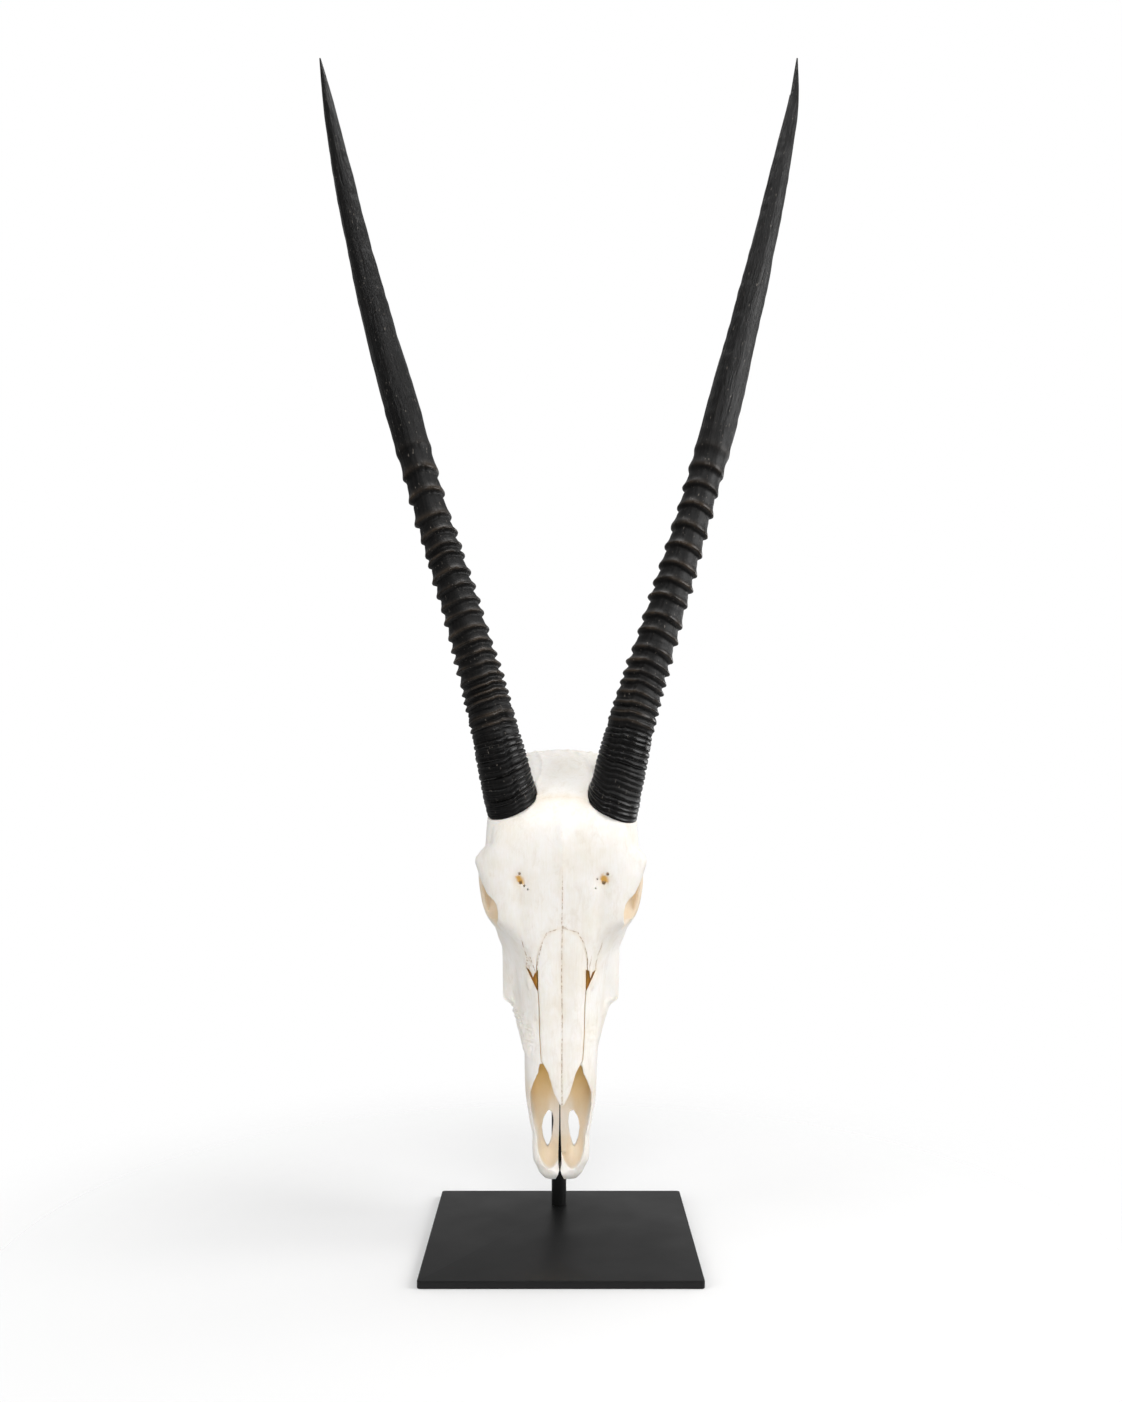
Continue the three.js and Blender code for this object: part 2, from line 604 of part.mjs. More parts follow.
/** Distances from the base, each with how far the ring there stands in from the ridges. */
function hornLevels(horn, length) {
  const levels = [{ at: 0, inset: 0.6 }];
  let distance = 2.5;
  for (let count = 0; distance < RING_LAST; count += 1) {
    const uneven = 1 + 0.25 * jitter(horn.jitterSeed + count);
    const spacing = (RIDGE_FIRST_SPACING + RIDGE_GROWTH * distance) * uneven;
    const fade = THREE.MathUtils.smoothstep(RING_LAST - distance, -10, 60);
    const swell = THREE.MathUtils.smoothstep(distance, 20, 150);
    const height = fade * THREE.MathUtils.lerp(RIDGE_HEIGHT_BASE, RIDGE_HEIGHT_MIDDLE, swell);
    levels.push({ at: distance, inset: 0 });
    levels.push({ at: distance + spacing * 0.62, inset: height });
    distance += spacing;
  }
  const start = levels[levels.length - 1].at;
  for (let i = 1; i <= SPEAR_STEPS; i += 1) {
    const share = i / SPEAR_STEPS;
    const eased = 0.35 * Math.sqrt(share) + 0.65 * share;
    levels.push({ at: THREE.MathUtils.lerp(start, length, eased), inset: 0 });
  }
  return levels;
}

/** Centre line of a horn and the normal of its slanted base, about its base centre. */
function hornLine(horn) {
  const points = horn.path.map(([x, y, z]) => new THREE.Vector3(x * horn.side, y, z));
  const curve = new THREE.CatmullRomCurve3(points, false, "centripetal");
  const baseNormal = new THREE.Vector3(-horn.slopeX, -horn.slopeY, 1).normalize();
  return { curve, baseNormal };
}

function hornFrame(centre, normal) {
  const across = new THREE.Vector3(1, 0, 0).addScaledVector(normal, -normal.x).normalize();
  return { centre, across, back: normal.clone().cross(across) };
}

/** Point on a horn's slightly oval ring; turn runs from the front towards +X. */
function ringPoint(frame, radius, turn) {
  const angle = turn * 2 * Math.PI - Math.PI / 2;
  return frame.centre.clone()
    .addScaledVector(frame.across, radius * Math.cos(angle))
    .addScaledVector(frame.back, radius * HORN_DEPTH_RATIO * Math.sin(angle));
}

/** Solid horn about its base centre. */
function hornShape(horn) {
  const { curve, baseNormal } = hornLine(horn);
  const length = curve.getLength();
  const levels = hornLevels(horn, length);
  const frames = levels.map(({ at }) => {
    const blend = THREE.MathUtils.smoothstep(at, 0, TILT_BLEND);
    const normal = baseNormal.clone().lerp(curve.getTangentAt(at / length), blend).normalize();
    return hornFrame(curve.getPointAt(at / length), normal);
  });
  return loft(levels.length, HORN_SIDES, (level, turn, reach) => {
    const { at, inset } = levels[level];
    const radius = HORN_BASE_RADIUS * along(HORN_TAPER, (at / length) * HORN_LENGTH) - inset;
    return ringPoint(frames[level], radius * reach, turn);
  });
}

// ---------------------------------------------------------------- carving the skull

/** Head with its added parts, before anything is carved out of it. */
function headBlank() {
  const stumps = HORNS.map((horn) => solid(pedicle(horn)));
  const blank = union([solid(ringLoft(HEAD_RINGS, RING_STOPS)), ...stumps]);
  return HORNS.reduce((head, horn) => head.subtract(solid(hornRoom(horn))), blank);
}

// Hollows by centre and radii, those of the sides for the right one.
const ORBIT = { centre: [84, -30, 266], radii: [40, 32, 27], across: 12, along: 8 };
const TEMPLE = { centre: [76, -8, 341], radii: [34, 27, 29], across: 10, along: 6 };
const JAW_ROOM = { centre: [47, 15, 300], radii: [20, 25, 45], across: 8, along: 6 };
const BRAINCASE = { centre: [0, -2, 358], radii: [33, 31, 30], across: 8, along: 6 };
const INNER_NOSTRILS = { centre: [0, 26, 248], radii: [11.5, 26, 24], across: 8, along: 6 };
const SPINAL_OPENING = { ends: [[0, 70, 388], [0, 8, 364]], radius: 15.5 };
const FOREHEAD_Y = -74; // of the bone round the brow holes

/** The hole in the brow and the small one above it. */
function browHoles(side) {
  const { x, height, radius, smallRadius, rise, depth } = BROW_HOLE;
  const hole = (dx, dz, r) => {
    const from = new THREE.Vector3(side * (x + dx), -HEAD_REACH, height + dz);
    const to = new THREE.Vector3(side * (x + dx / 2), FOREHEAD_Y + depth, height + dz - 4);
    return solid(bar(from, to, r, r, 8));
  };
  return [hole(0, 0, radius), hole(2, rise, smallRadius)];
}

function spinalOpening() {
  const [from, to] = SPINAL_OPENING.ends.map((point) => sidePoint(point, 1));
  return solid(bar(from, to, SPINAL_OPENING.radius, SPINAL_OPENING.radius, 12));
}

function postRoom() {
  const room = postShape(POST_DIAMETER / 2 + FIT_GAP);
  room.translate(0, 0, -NOSE_HEIGHT);
  return solid(room);
}

/** Head with all that stands out of it and its inner hollows, before the openings of the face. */
function carvedHead() {
  const sideHollows = SIDES.flatMap((side) => [ORBIT, TEMPLE, JAW_ROOM].map((each) => ellipsoid(each, side)));
  const head = cut(headBlank(), sideHollows);
  const whole = union([head, ...SIDES.flatMap(addedParts)]);
  const openings = [ellipsoid(BRAINCASE), ellipsoid(INNER_NOSTRILS), spinalOpening(), postRoom()];
  return cut(whole, [...openings, solid(nasalCavity()), ...SIDES.flatMap(browHoles)]);
}

/** Cuts that open one side of the face, with the room for its nasal bone. */
function faceOpenings(side) {
  return [
    prism(grown(nasalOutline(side), NASAL_SLIT), -HEAD_REACH, NASAL_BACK_Y + FIT_GAP),
    prism(nostrilOutline(side), -HEAD_REACH, NOSTRIL_BACK_Y),
    prism(mirrored(LACRIMAL_GAP, side), -HEAD_REACH, LACRIMAL_BACK_Y),
    prism(mirrored(ORBIT_RIM, side), -HEAD_REACH, ORBIT_RIM_BACK_Y),
    prism(mirrored(PALATE_HOLE, side), PALATE_FRONT_Y, HEAD_REACH),
  ];
}

function toothRoom(tooth) {
  const socket = socketShape(tooth);
  socket.translate(tooth.side * tooth.x, ALVEOLAR_Y, tooth.height);
  return solid(socket);
}

/** Solids of the skull, its nasal bones and its premaxillae, by name. */
function headBones(teeth) {
  const bones = {};
  const head = carvedHead();
  SIDES.forEach((side) => {
    const plate = prism(nasalOutline(side), -HEAD_REACH, NASAL_BACK_Y);
    bones[`nasal_${nameOf(side)}`] = head.intersect(plate);
  });
  const lipSeam = prism(seamOutline(), -HEAD_REACH, HEAD_REACH);
  const opened = cut(head, [...SIDES.flatMap(faceOpenings), lipSeam, ...teeth.map(toothRoom)]);
  SIDES.forEach((side) => {
    bones[`premaxilla_${nameOf(side)}`] = opened.intersect(premaxillaRegion(side, -FIT_GAP));
  });
  bones.skull = cut(opened, SIDES.map((side) => premaxillaRegion(side, 0)));
  return bones;
}

// ---------------------------------------------------------------- assembly

/** Largest connected body of a solid, without the crumbs that a cut can leave. */
function mainBody(manifold) {
  const bodies = manifold.decompose();
  return bodies.reduce((best, body) => (body.volume() > best.volume() ? body : best));
}

function meshOf(name, geometry, finish) {
  const mesh = new THREE.Mesh(geometry, new THREE.MeshStandardMaterial(FINISHES[finish]));
  mesh.name = name;
  return mesh;
}

function standGroup() {
  const stand = new THREE.Group();
  stand.add(meshOf("base_plate", geometryOf(basePlate()), "steel"));
  stand.add(meshOf("post", geometryOf(post()), "steel"));
  stand.add(meshOf("post_screw", geometryOf(postScrew()), "screw"));
  return stand;
}

function headGroup() {
  const group = new THREE.Group();
  group.position.z = NOSE_HEIGHT;
  const teeth = SIDES.flatMap(toothPlaces);
  Object.entries(headBones(teeth)).forEach(([name, bone]) => {
    group.add(meshOf(name, geometryOf(mainBody(bone)), "bone"));
  });
  teeth.forEach((tooth) => {
    const name = `${tooth.name}_${nameOf(tooth.side)}`;
    const mesh = meshOf(name, geometryOf(solid(toothShape(tooth))), "enamel");
    mesh.position.set(tooth.side * tooth.x, ALVEOLAR_Y, tooth.height);
    group.add(mesh);
  });
  HORNS.forEach((horn) => {
    const mesh = meshOf(horn.name, geometryOf(solid(hornShape(horn))), "horn");
    mesh.position.copy(horn.base);
    group.add(mesh);
  });
  return group;
}

const object = new THREE.Group();
object.add(standGroup(), headGroup());

export default object;
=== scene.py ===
"""Looks of a mounted gemsbok skull: bleached bone, long ringed horns and a powder-coated steel stand.

Metres in Blender, millimetres in the tables. The head's own heights start at the lowest point of
the nose, and LEFT and RIGHT are meant as seen by someone who faces the skull.
"""

import logging
import math
from contextlib import contextmanager
from dataclasses import dataclass, field
from enum import Enum
from typing import Any, Callable, Iterator, Sequence

import bpy
import numpy as np
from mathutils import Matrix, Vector
from mathutils.bvhtree import BVHTree


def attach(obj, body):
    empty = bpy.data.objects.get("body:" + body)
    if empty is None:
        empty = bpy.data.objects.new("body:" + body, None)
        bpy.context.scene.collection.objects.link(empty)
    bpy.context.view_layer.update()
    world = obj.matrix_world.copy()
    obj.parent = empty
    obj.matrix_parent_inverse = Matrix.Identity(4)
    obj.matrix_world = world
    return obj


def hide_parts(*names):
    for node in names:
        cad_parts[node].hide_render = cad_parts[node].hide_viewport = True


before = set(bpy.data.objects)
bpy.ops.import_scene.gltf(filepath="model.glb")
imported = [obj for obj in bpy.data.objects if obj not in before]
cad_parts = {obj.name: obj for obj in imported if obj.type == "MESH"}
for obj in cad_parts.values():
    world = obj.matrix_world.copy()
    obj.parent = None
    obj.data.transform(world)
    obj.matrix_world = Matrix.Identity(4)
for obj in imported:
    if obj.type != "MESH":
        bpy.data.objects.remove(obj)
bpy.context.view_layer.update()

LOG = logging.getLogger("skull")
MM = 0.001
TURN = 2 * math.pi
NOSE_HEIGHT = 60.0  # of the nose above the stand's underside
FIT_GAP = 0.3  # clear gap between pieces that touch

Array = np.ndarray
Place = Callable[[Array, Array], Array]
Outline = Sequence[tuple[float, float]]


class Side(Enum):
    """Side of the head as seen from in front."""

    LEFT = -1
    RIGHT = 1

    @property
    def word(self) -> str:
        """Name of the side as the CAD nodes use it."""
        return self.name.lower()


# ---------------------------------------------------------------- numbers


def srgb(code: str) -> tuple[float, float, float, float]:
    """Turns an sRGB hex code into a linear colour.

    Args:
        code: Colour such as "#ece5d8".

    Returns:
        Linear red, green, blue and an alpha of 1.
    """
    shares = [int(code[i : i + 2], 16) / 255 for i in (1, 3, 5)]
    linear = [c / 12.92 if c <= 0.04045 else ((c + 0.055) / 1.055) ** 2.4 for c in shares]
    return (linear[0], linear[1], linear[2], 1.0)


def smoothstep(low: float, high: float, value: Array) -> Array:
    """Smooth rise from 0 at low to 1 at high."""
    share = np.clip((value - low) / (high - low), 0, 1)
    return share * share * (3 - 2 * share)


def bell(value: Array, width: float) -> Array:
    """Bell that is 1 at 0 and fades over about width."""
    return np.exp(-((value / width) ** 2))


def cubic(start: Array, end: Array, leaving: Array, arriving: Array, t: Array) -> Array:
    """Cubic from start to end with the given slopes, at shares t of the way."""
    rise = 3 * t**2 - 2 * t**3
    return start * (1 - rise) + end * rise + leaving * (t**3 - 2 * t**2 + t) + arriving * (t**3 - t**2)


def monotone(knots: Sequence[float], values: Array, at: Array) -> Array:
    """Smooth curve through knots that never overshoots them.

    Args:
        knots: Rising positions.
        values: One row of values for each knot.
        at: Positions to read.

    Returns:
        One row of values for each position.
    """
    knots = np.asarray(knots, float)
    values = np.asarray(values, float).reshape(len(knots), -1)
    step = np.diff(knots)[:, None]
    slope = np.diff(values, axis=0) / step
    before, after = slope[:-1], slope[1:]
    near, far = 2 * step[1:] + step[:-1], step[1:] + 2 * step[:-1]
    same = before * after > 0
    safe_before, safe_after = np.where(same, before, 1), np.where(same, after, 1)
    inner = np.where(same, (near + far) / (near / safe_before + far / safe_after), 0)
    tangent = np.vstack([slope[:1], inner, slope[-1:]])
    i = np.clip(np.searchsorted(knots, at, "right") - 1, 0, len(knots) - 2)
    t = np.clip((at - knots[i])[:, None] / step[i], 0, 1)
    return cubic(values[i], values[i + 1], tangent[i] * step[i], tangent[i + 1] * step[i], t)


def spline(points: Sequence[Sequence[float]], count: int) -> Array:
    """Evenly spaced points on a smooth open curve.

    Args:
        points: Points that the curve passes through.
        count: Number of points wanted.

    Returns:
        Array of points, the same distance apart along the curve.
    """
    knots = np.asarray(points, float)
    reach = np.concatenate([[0], np.cumsum(np.linalg.norm(np.diff(knots, axis=0), axis=1) ** 0.5)])
    tangent = np.gradient(knots, reach, axis=0)
    at = np.linspace(0, reach[-1], 1200)
    i = np.clip(np.searchsorted(reach, at, "right") - 1, 0, len(knots) - 2)
    step = (reach[i + 1] - reach[i])[:, None]
    t = (at - reach[i])[:, None] / step
    dense = cubic(knots[i], knots[i + 1], tangent[i] * step, tangent[i + 1] * step, t)
    length = np.concatenate([[0], np.cumsum(np.linalg.norm(np.diff(dense, axis=0), axis=1))])
    even = np.linspace(0, length[-1], count)
    return np.stack([np.interp(even, length, dense[:, k]) for k in range(3)], axis=1)


def grain(points: Array, cell: float, seed: int) -> Array:
    """Smooth random field between -1 and 1.

    Args:
        points: Places to read, one a row.
        cell: Size of the field's lumps, in the points' units.
        seed: Number that picks the field.

    Returns:
        One value a point.
    """
    scaled = points / cell
    corner = np.floor(scaled).astype(np.int64)
    share = scaled - corner
    share = share * share * (3 - 2 * share)
    total = np.zeros(len(points))
    for index in range(8):
        offset = np.array([(index >> axis) & 1 for axis in range(3)])
        key = (corner + offset) * np.array([73856093, 19349663, 83492791])
        mixed = (key[:, 0] ^ key[:, 1] ^ key[:, 2] ^ (seed * 2654435761)) & 0x7FFFFFFF
        mixed = (mixed * ((mixed * ((mixed * 15731) & 0x7FFFFFFF) + 789221) & 0x7FFFFFFF)) & 0x7FFFFFFF
        weight = np.prod(np.where(offset, share, 1 - share), axis=1)
        total += weight * (mixed / 0x3FFFFFFF - 1)
    return total


def line_distance(u: Array, v: Array, line: Outline) -> tuple[Array, Array]:
    """Distance of points from a polyline in a plane.

    Args:
        u: First coordinate of the points.
        v: Second coordinate.
        line: Corners of the polyline.

    Returns:
        The distance, and the signed distance from the nearest stretch's own straight line.
    """
    best = np.full(len(u), 1e9)
    signed = np.full(len(u), 1e9)
    for (u0, v0), (u1, v1) in zip(line, line[1:]):
        du, dv = u1 - u0, v1 - v0
        length = math.hypot(du, dv)
        t = np.clip(((u - u0) * du + (v - v0) * dv) / length**2, 0, 1)
        away = np.hypot(u - u0 - t * du, v - v0 - t * dv)
        side = ((u - u0) * dv - (v - v0) * du) / length
        nearer = away < best
        best = np.where(nearer, away, best)
        signed = np.where(nearer, side, signed)
    return best, signed


def mirrored(outline: Outline, side: Side) -> list[tuple[float, float]]:
    """Outline of the right half, turned over for the left."""
    return [(x * side.value, height) for x, height in outline]


def grown(outline: Outline, margins: Sequence[float]) -> list[tuple[float, float]]:
    """Moves each point of a closed outline outwards by its own margin."""
    points = np.asarray(outline, float)
    following = np.roll(points, -1, axis=0)
    area = np.sum(points[:, 0] * following[:, 1] - following[:, 0] * points[:, 1])
    edge = following - np.roll(points, 1, axis=0)
    edge /= np.linalg.norm(edge, axis=1)[:, None]
    outward = np.stack([edge[:, 1], -edge[:, 0]], axis=1) * np.sign(area)
    return [tuple(point) for point in points + outward * np.asarray(margins)[:, None]]


# ---------------------------------------------------------------- modelling


def only(obj: bpy.types.Object) -> None:
    """Selects one object and makes it the active one."""
    bpy.ops.object.select_all(action="DESELECT")
    obj.select_set(True)
    bpy.context.view_layer.objects.active = obj


@contextmanager
def editing(obj: bpy.types.Object, select_all: bool = True) -> Iterator[None]:
    """Edit mode on one object.

    Args:
        obj: Mesh object to edit.
        select_all: Whether all of it is selected first, or the selection stays.
    """
    only(obj)
    bpy.ops.object.mode_set(mode="EDIT")
    if select_all:
        bpy.ops.mesh.select_all(action="SELECT")
    yield
    bpy.ops.object.mode_set(mode="OBJECT")


def choose(obj: bpy.types.Object, kind: str, chosen: Array) -> None:
    """Selects just part of a mesh.

    Args:
        obj: Mesh object.
        kind: "VERT", "EDGE" or "FACE".
        chosen: Whether each of them is wanted.
    """
    with editing(obj):
        bpy.ops.mesh.select_mode(type=kind)
        bpy.ops.mesh.select_all(action="DESELECT")
    mesh = obj.data
    {"VERT": mesh.vertices, "EDGE": mesh.edges, "FACE": mesh.polygons}[kind].foreach_set("select", chosen)


def read(items: bpy.types.bpy_prop_collection, name: str, width: int = 3, kind: type = float) -> Array:
    """Reads one property of a mesh's parts, a row for each."""
    flat = np.empty(len(items) * width, kind)
    items.foreach_get(name, flat)
    return flat.reshape(-1, width)


def points_of(obj: bpy.types.Object) -> Array:
    """Vertices of a mesh, in metres."""
    return read(obj.data.vertices, "co")


def move_points(obj: bpy.types.Object, points: Array) -> None:
    """Puts a mesh's vertices at new places, in metres."""
    obj.data.vertices.foreach_set("co", points.ravel())
    obj.data.update()


def head_points(obj: bpy.types.Object) -> Array:
    """Vertices of a mesh in the head's own millimetres, with heights from the nose."""
    return points_of(obj) / MM - np.array([0, 0, NOSE_HEIGHT])


def paint(obj: bpy.types.Object, name: str, values: Array) -> None:
    """Stores one number a vertex for the materials to read."""
    layer = obj.data.attributes.new(name, "FLOAT", "POINT")
    layer.data.foreach_set("value", np.asarray(values, np.float32))


def apply_modifier(obj: bpy.types.Object, kind: str, **settings: Any) -> None:
    """Adds a modifier with its settings and applies it."""
    only(obj)
    modifier = obj.modifiers.new(kind.title(), kind)
    for name, value in settings.items():
        setattr(modifier, name, value)
    bpy.ops.object.modifier_apply(modifier=modifier.name)


def combine(body: bpy.types.Object, tools: Sequence[bpy.types.Object], operation: str) -> None:
    """Joins tools to a body, or cuts them out of it, and deletes them.

    Args:
        body: Mesh that is changed.
        tools: Closed meshes.
        operation: "UNION", "DIFFERENCE" or "INTERSECT".
    """
    for tool in tools:
        apply_modifier(body, "BOOLEAN", object=tool, operation=operation, solver="MANIFOLD")
        bpy.data.objects.remove(tool)


def twin(obj: bpy.types.Object, name: str) -> bpy.types.Object:
    """Copy of an object with a mesh of its own."""
    copy = obj.copy()
    copy.data = obj.data.copy()
    copy.name = copy.data.name = name
    bpy.context.scene.collection.objects.link(copy)
    return copy


def settle(obj: bpy.types.Object, location: bool = True) -> None:
    """Applies an object's place, turn and scale, so that they are in its mesh."""
    only(obj)
    bpy.ops.object.transform_apply(location=location, rotation=True, scale=True)


def primitive(add: Callable[..., Any], name: str, **settings: Any) -> bpy.types.Object:
    """Adds a primitive with one of Blender's own operators, and names it."""
    bpy.ops.object.select_all(action="DESELECT")
    add(**settings)
    obj = bpy.context.object
    obj.name = obj.data.name = name
    return obj


def tidy_mesh(obj: bpy.types.Object) -> None:
    """Merges doubles and turns all faces outwards."""
    with editing(obj):
        bpy.ops.mesh.remove_doubles(threshold=2e-6)
        bpy.ops.mesh.normals_make_consistent(inside=False)


def sleeve(name: str, around: int, rows: int, place: Place) -> bpy.types.Object:
    """Closed skin: a grid wrapped into a tube whose first and last rows are its two poles.

    Args:
        name: Name of the new object.
        around: Faces round the tube.
        rows: Rows of points along it.
        place: Gives the points, in millimetres, for arrays of turns from 0 to 1 and of row numbers.

    Returns:
        The new object.
    """
    size = {"x_subdivisions": around, "y_subdivisions": rows - 1, "size": 1}
    obj = primitive(bpy.ops.mesh.primitive_grid_add, name, **size)
    grid = points_of(obj) + 0.5
    row = np.rint(grid[:, 1] * (rows - 1)).astype(int)
    move_points(obj, place(np.rint(grid[:, 0] * around) / around, row) * MM)
    tidy_mesh(obj)
    return obj


def ellipsoid(name: str, centre: Sequence[float], radii: Sequence[float]) -> bpy.types.Object:
    """Ellipsoid in the head's millimetres."""
    middle = np.array(centre) * MM + np.array([0, 0, NOSE_HEIGHT * MM])
    size = {"segments": 48, "ring_count": 28, "radius": MM, "location": middle}
    obj = primitive(bpy.ops.mesh.primitive_uv_sphere_add, name, **size)
    obj.scale = radii
    settle(obj)
    return obj


def rod(
    name: str, start: Sequence[float], end: Sequence[float], radii: Sequence[float]
) -> bpy.types.Object:
    """Tapered round rod between two points, in the head's millimetres."""
    first, last = Vector(start), Vector(end)
    middle = (first + last) / 2 * MM + Vector((0, 0, NOSE_HEIGHT * MM))
    turn = (last - first).to_track_quat("Z", "Y").to_euler()
    obj = primitive(
        bpy.ops.mesh.primitive_cone_add,
        name,
        vertices=28,
        radius1=radii[0] * MM,
        radius2=radii[1] * MM,
        depth=(last - first).length * MM,
        location=middle,
        rotation=turn,
    )
    settle(obj)
    return obj


def prism(
    name: str, outline: Outline, from_y: float, to_y: float, slope: float = 0.0
) -> bpy.types.Object:
    """Prism along Y over an outline of (x, height) points, in the head's millimetres.

    Args:
        name: Name of the new object.
        outline: Its corners.
        from_y: Y of its near end.
        to_y: Y of its far end on the middle plane.
        slope: How much further the far end goes for each millimetre off that plane.

    Returns:
        The new object.
    """
    obj = primitive(bpy.ops.mesh.primitive_circle_add, name, vertices=len(outline), fill_type="NGON")
    corners = np.array([[x, from_y, height + NOSE_HEIGHT] for x, height in outline])
    move_points(obj, corners * MM)
    with editing(obj):
        bpy.ops.mesh.extrude_region_move(
            TRANSFORM_OT_translate={"value": (0, (to_y - from_y) * MM, 0)}
        )
        bpy.ops.mesh.select_all(action="SELECT")
        bpy.ops.mesh.normals_make_consistent(inside=False)
    if slope:
        places = points_of(obj)
        far = places[:, 1] > (from_y + to_y) / 2 * MM
        places[far, 1] += slope * np.abs(places[far, 0])
        move_points(obj, places)
    return obj


def resurface(obj: bpy.types.Object, cell: float, rounds: int, most: int) -> None:
    """Makes one even skin with softened edges over a carved mesh.

    Args:
        obj: Closed mesh.
        cell: Size of the new faces, in millimetres.
        rounds: How often the skin is smoothed.
        most: Largest number of triangles to leave.
    """
    apply_modifier(obj, "REMESH", mode="VOXEL", voxel_size=cell * MM)
    apply_modifier(obj, "SMOOTH", factor=0.5, iterations=rounds)
    triangles = len(obj.data.polygons) * 2
    if triangles > most:
        apply_modifier(obj, "DECIMATE", ratio=most / triangles)


def finish_piece(obj: bpy.types.Object, node: str, finish: bpy.types.Material) -> None:
    """Gives a piece its finish and ties it to the frame.

    Args:
        obj: Finished mesh, in place.
        node: CAD node that it stands for.
        finish: Its material.
    """
    obj.name = obj.data.name = node + "_skin"
    obj.data.materials.clear()
    obj.data.materials.append(finish)
    only(obj)
    bpy.ops.object.shade_smooth_by_angle(angle=math.radians(48))
    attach(obj, "root")
    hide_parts(node)
    LOG.info("%s: %d faces", obj.name, len(obj.data.polygons))


# ---------------------------------------------------------------- materials


def add_node(
    tree: bpy.types.NodeTree, kind: str, inputs: dict[Any, Any], output: int | str = 0
) -> bpy.types.NodeSocket | None:
    """Adds a shader node.

    Args:
        tree: Tree that gets the node.
        kind: Blender's name of the node type, without "ShaderNode".
        inputs: Values of its attributes, or of its inputs by name or number. Another node's
            output is linked.
        output: The output that is wanted, by name or number.

    Returns:
        That output, or None from a node that has none.
    """
    node = tree.nodes.new("ShaderNode" + kind)
    for name, value in inputs.items():
        if isinstance(name, str) and hasattr(node, name):
            setattr(node, name, value)
        elif isinstance(value, bpy.types.NodeSocket):
            tree.links.new(value, node.inputs[name])
        else:
            node.inputs[name].default_value = value
    return node.outputs[output] if len(node.outputs) else None


def blank_material(name: str) -> tuple[bpy.types.Material, bpy.types.NodeTree, bpy.types.NodeSocket]:
    """New material with an empty node tree, and the object coordinates in it."""
    material = bpy.data.materials.new(name)
    material.use_nodes = True
    tree = material.node_tree
    tree.nodes.clear()
    return material, tree, add_node(tree, "TexCoord", {}, "Object")


@dataclass(frozen=True)
class Pattern:
    """Noise with lumps of a real size in millimetres, which can be drawn out along Z."""

    size: float
    detail: float = 2.0
    roughness: float = 0.5
    along: float = 1.0
    bend: float = 0.0

    def add(self, tree: bpy.types.NodeTree, place: bpy.types.NodeSocket) -> bpy.types.NodeSocket:
        """Adds the pattern to a tree and gives its value."""
        drawn = add_node(tree, "Mapping", {"Scale": (1, 1, self.along), "Vector": place})
        lumps = {"Scale": 1 / (self.size * MM), "Distortion": self.bend, "Vector": drawn}
        return add_node(tree, "TexNoise", {"Detail": self.detail, "Roughness": self.roughness, **lumps})


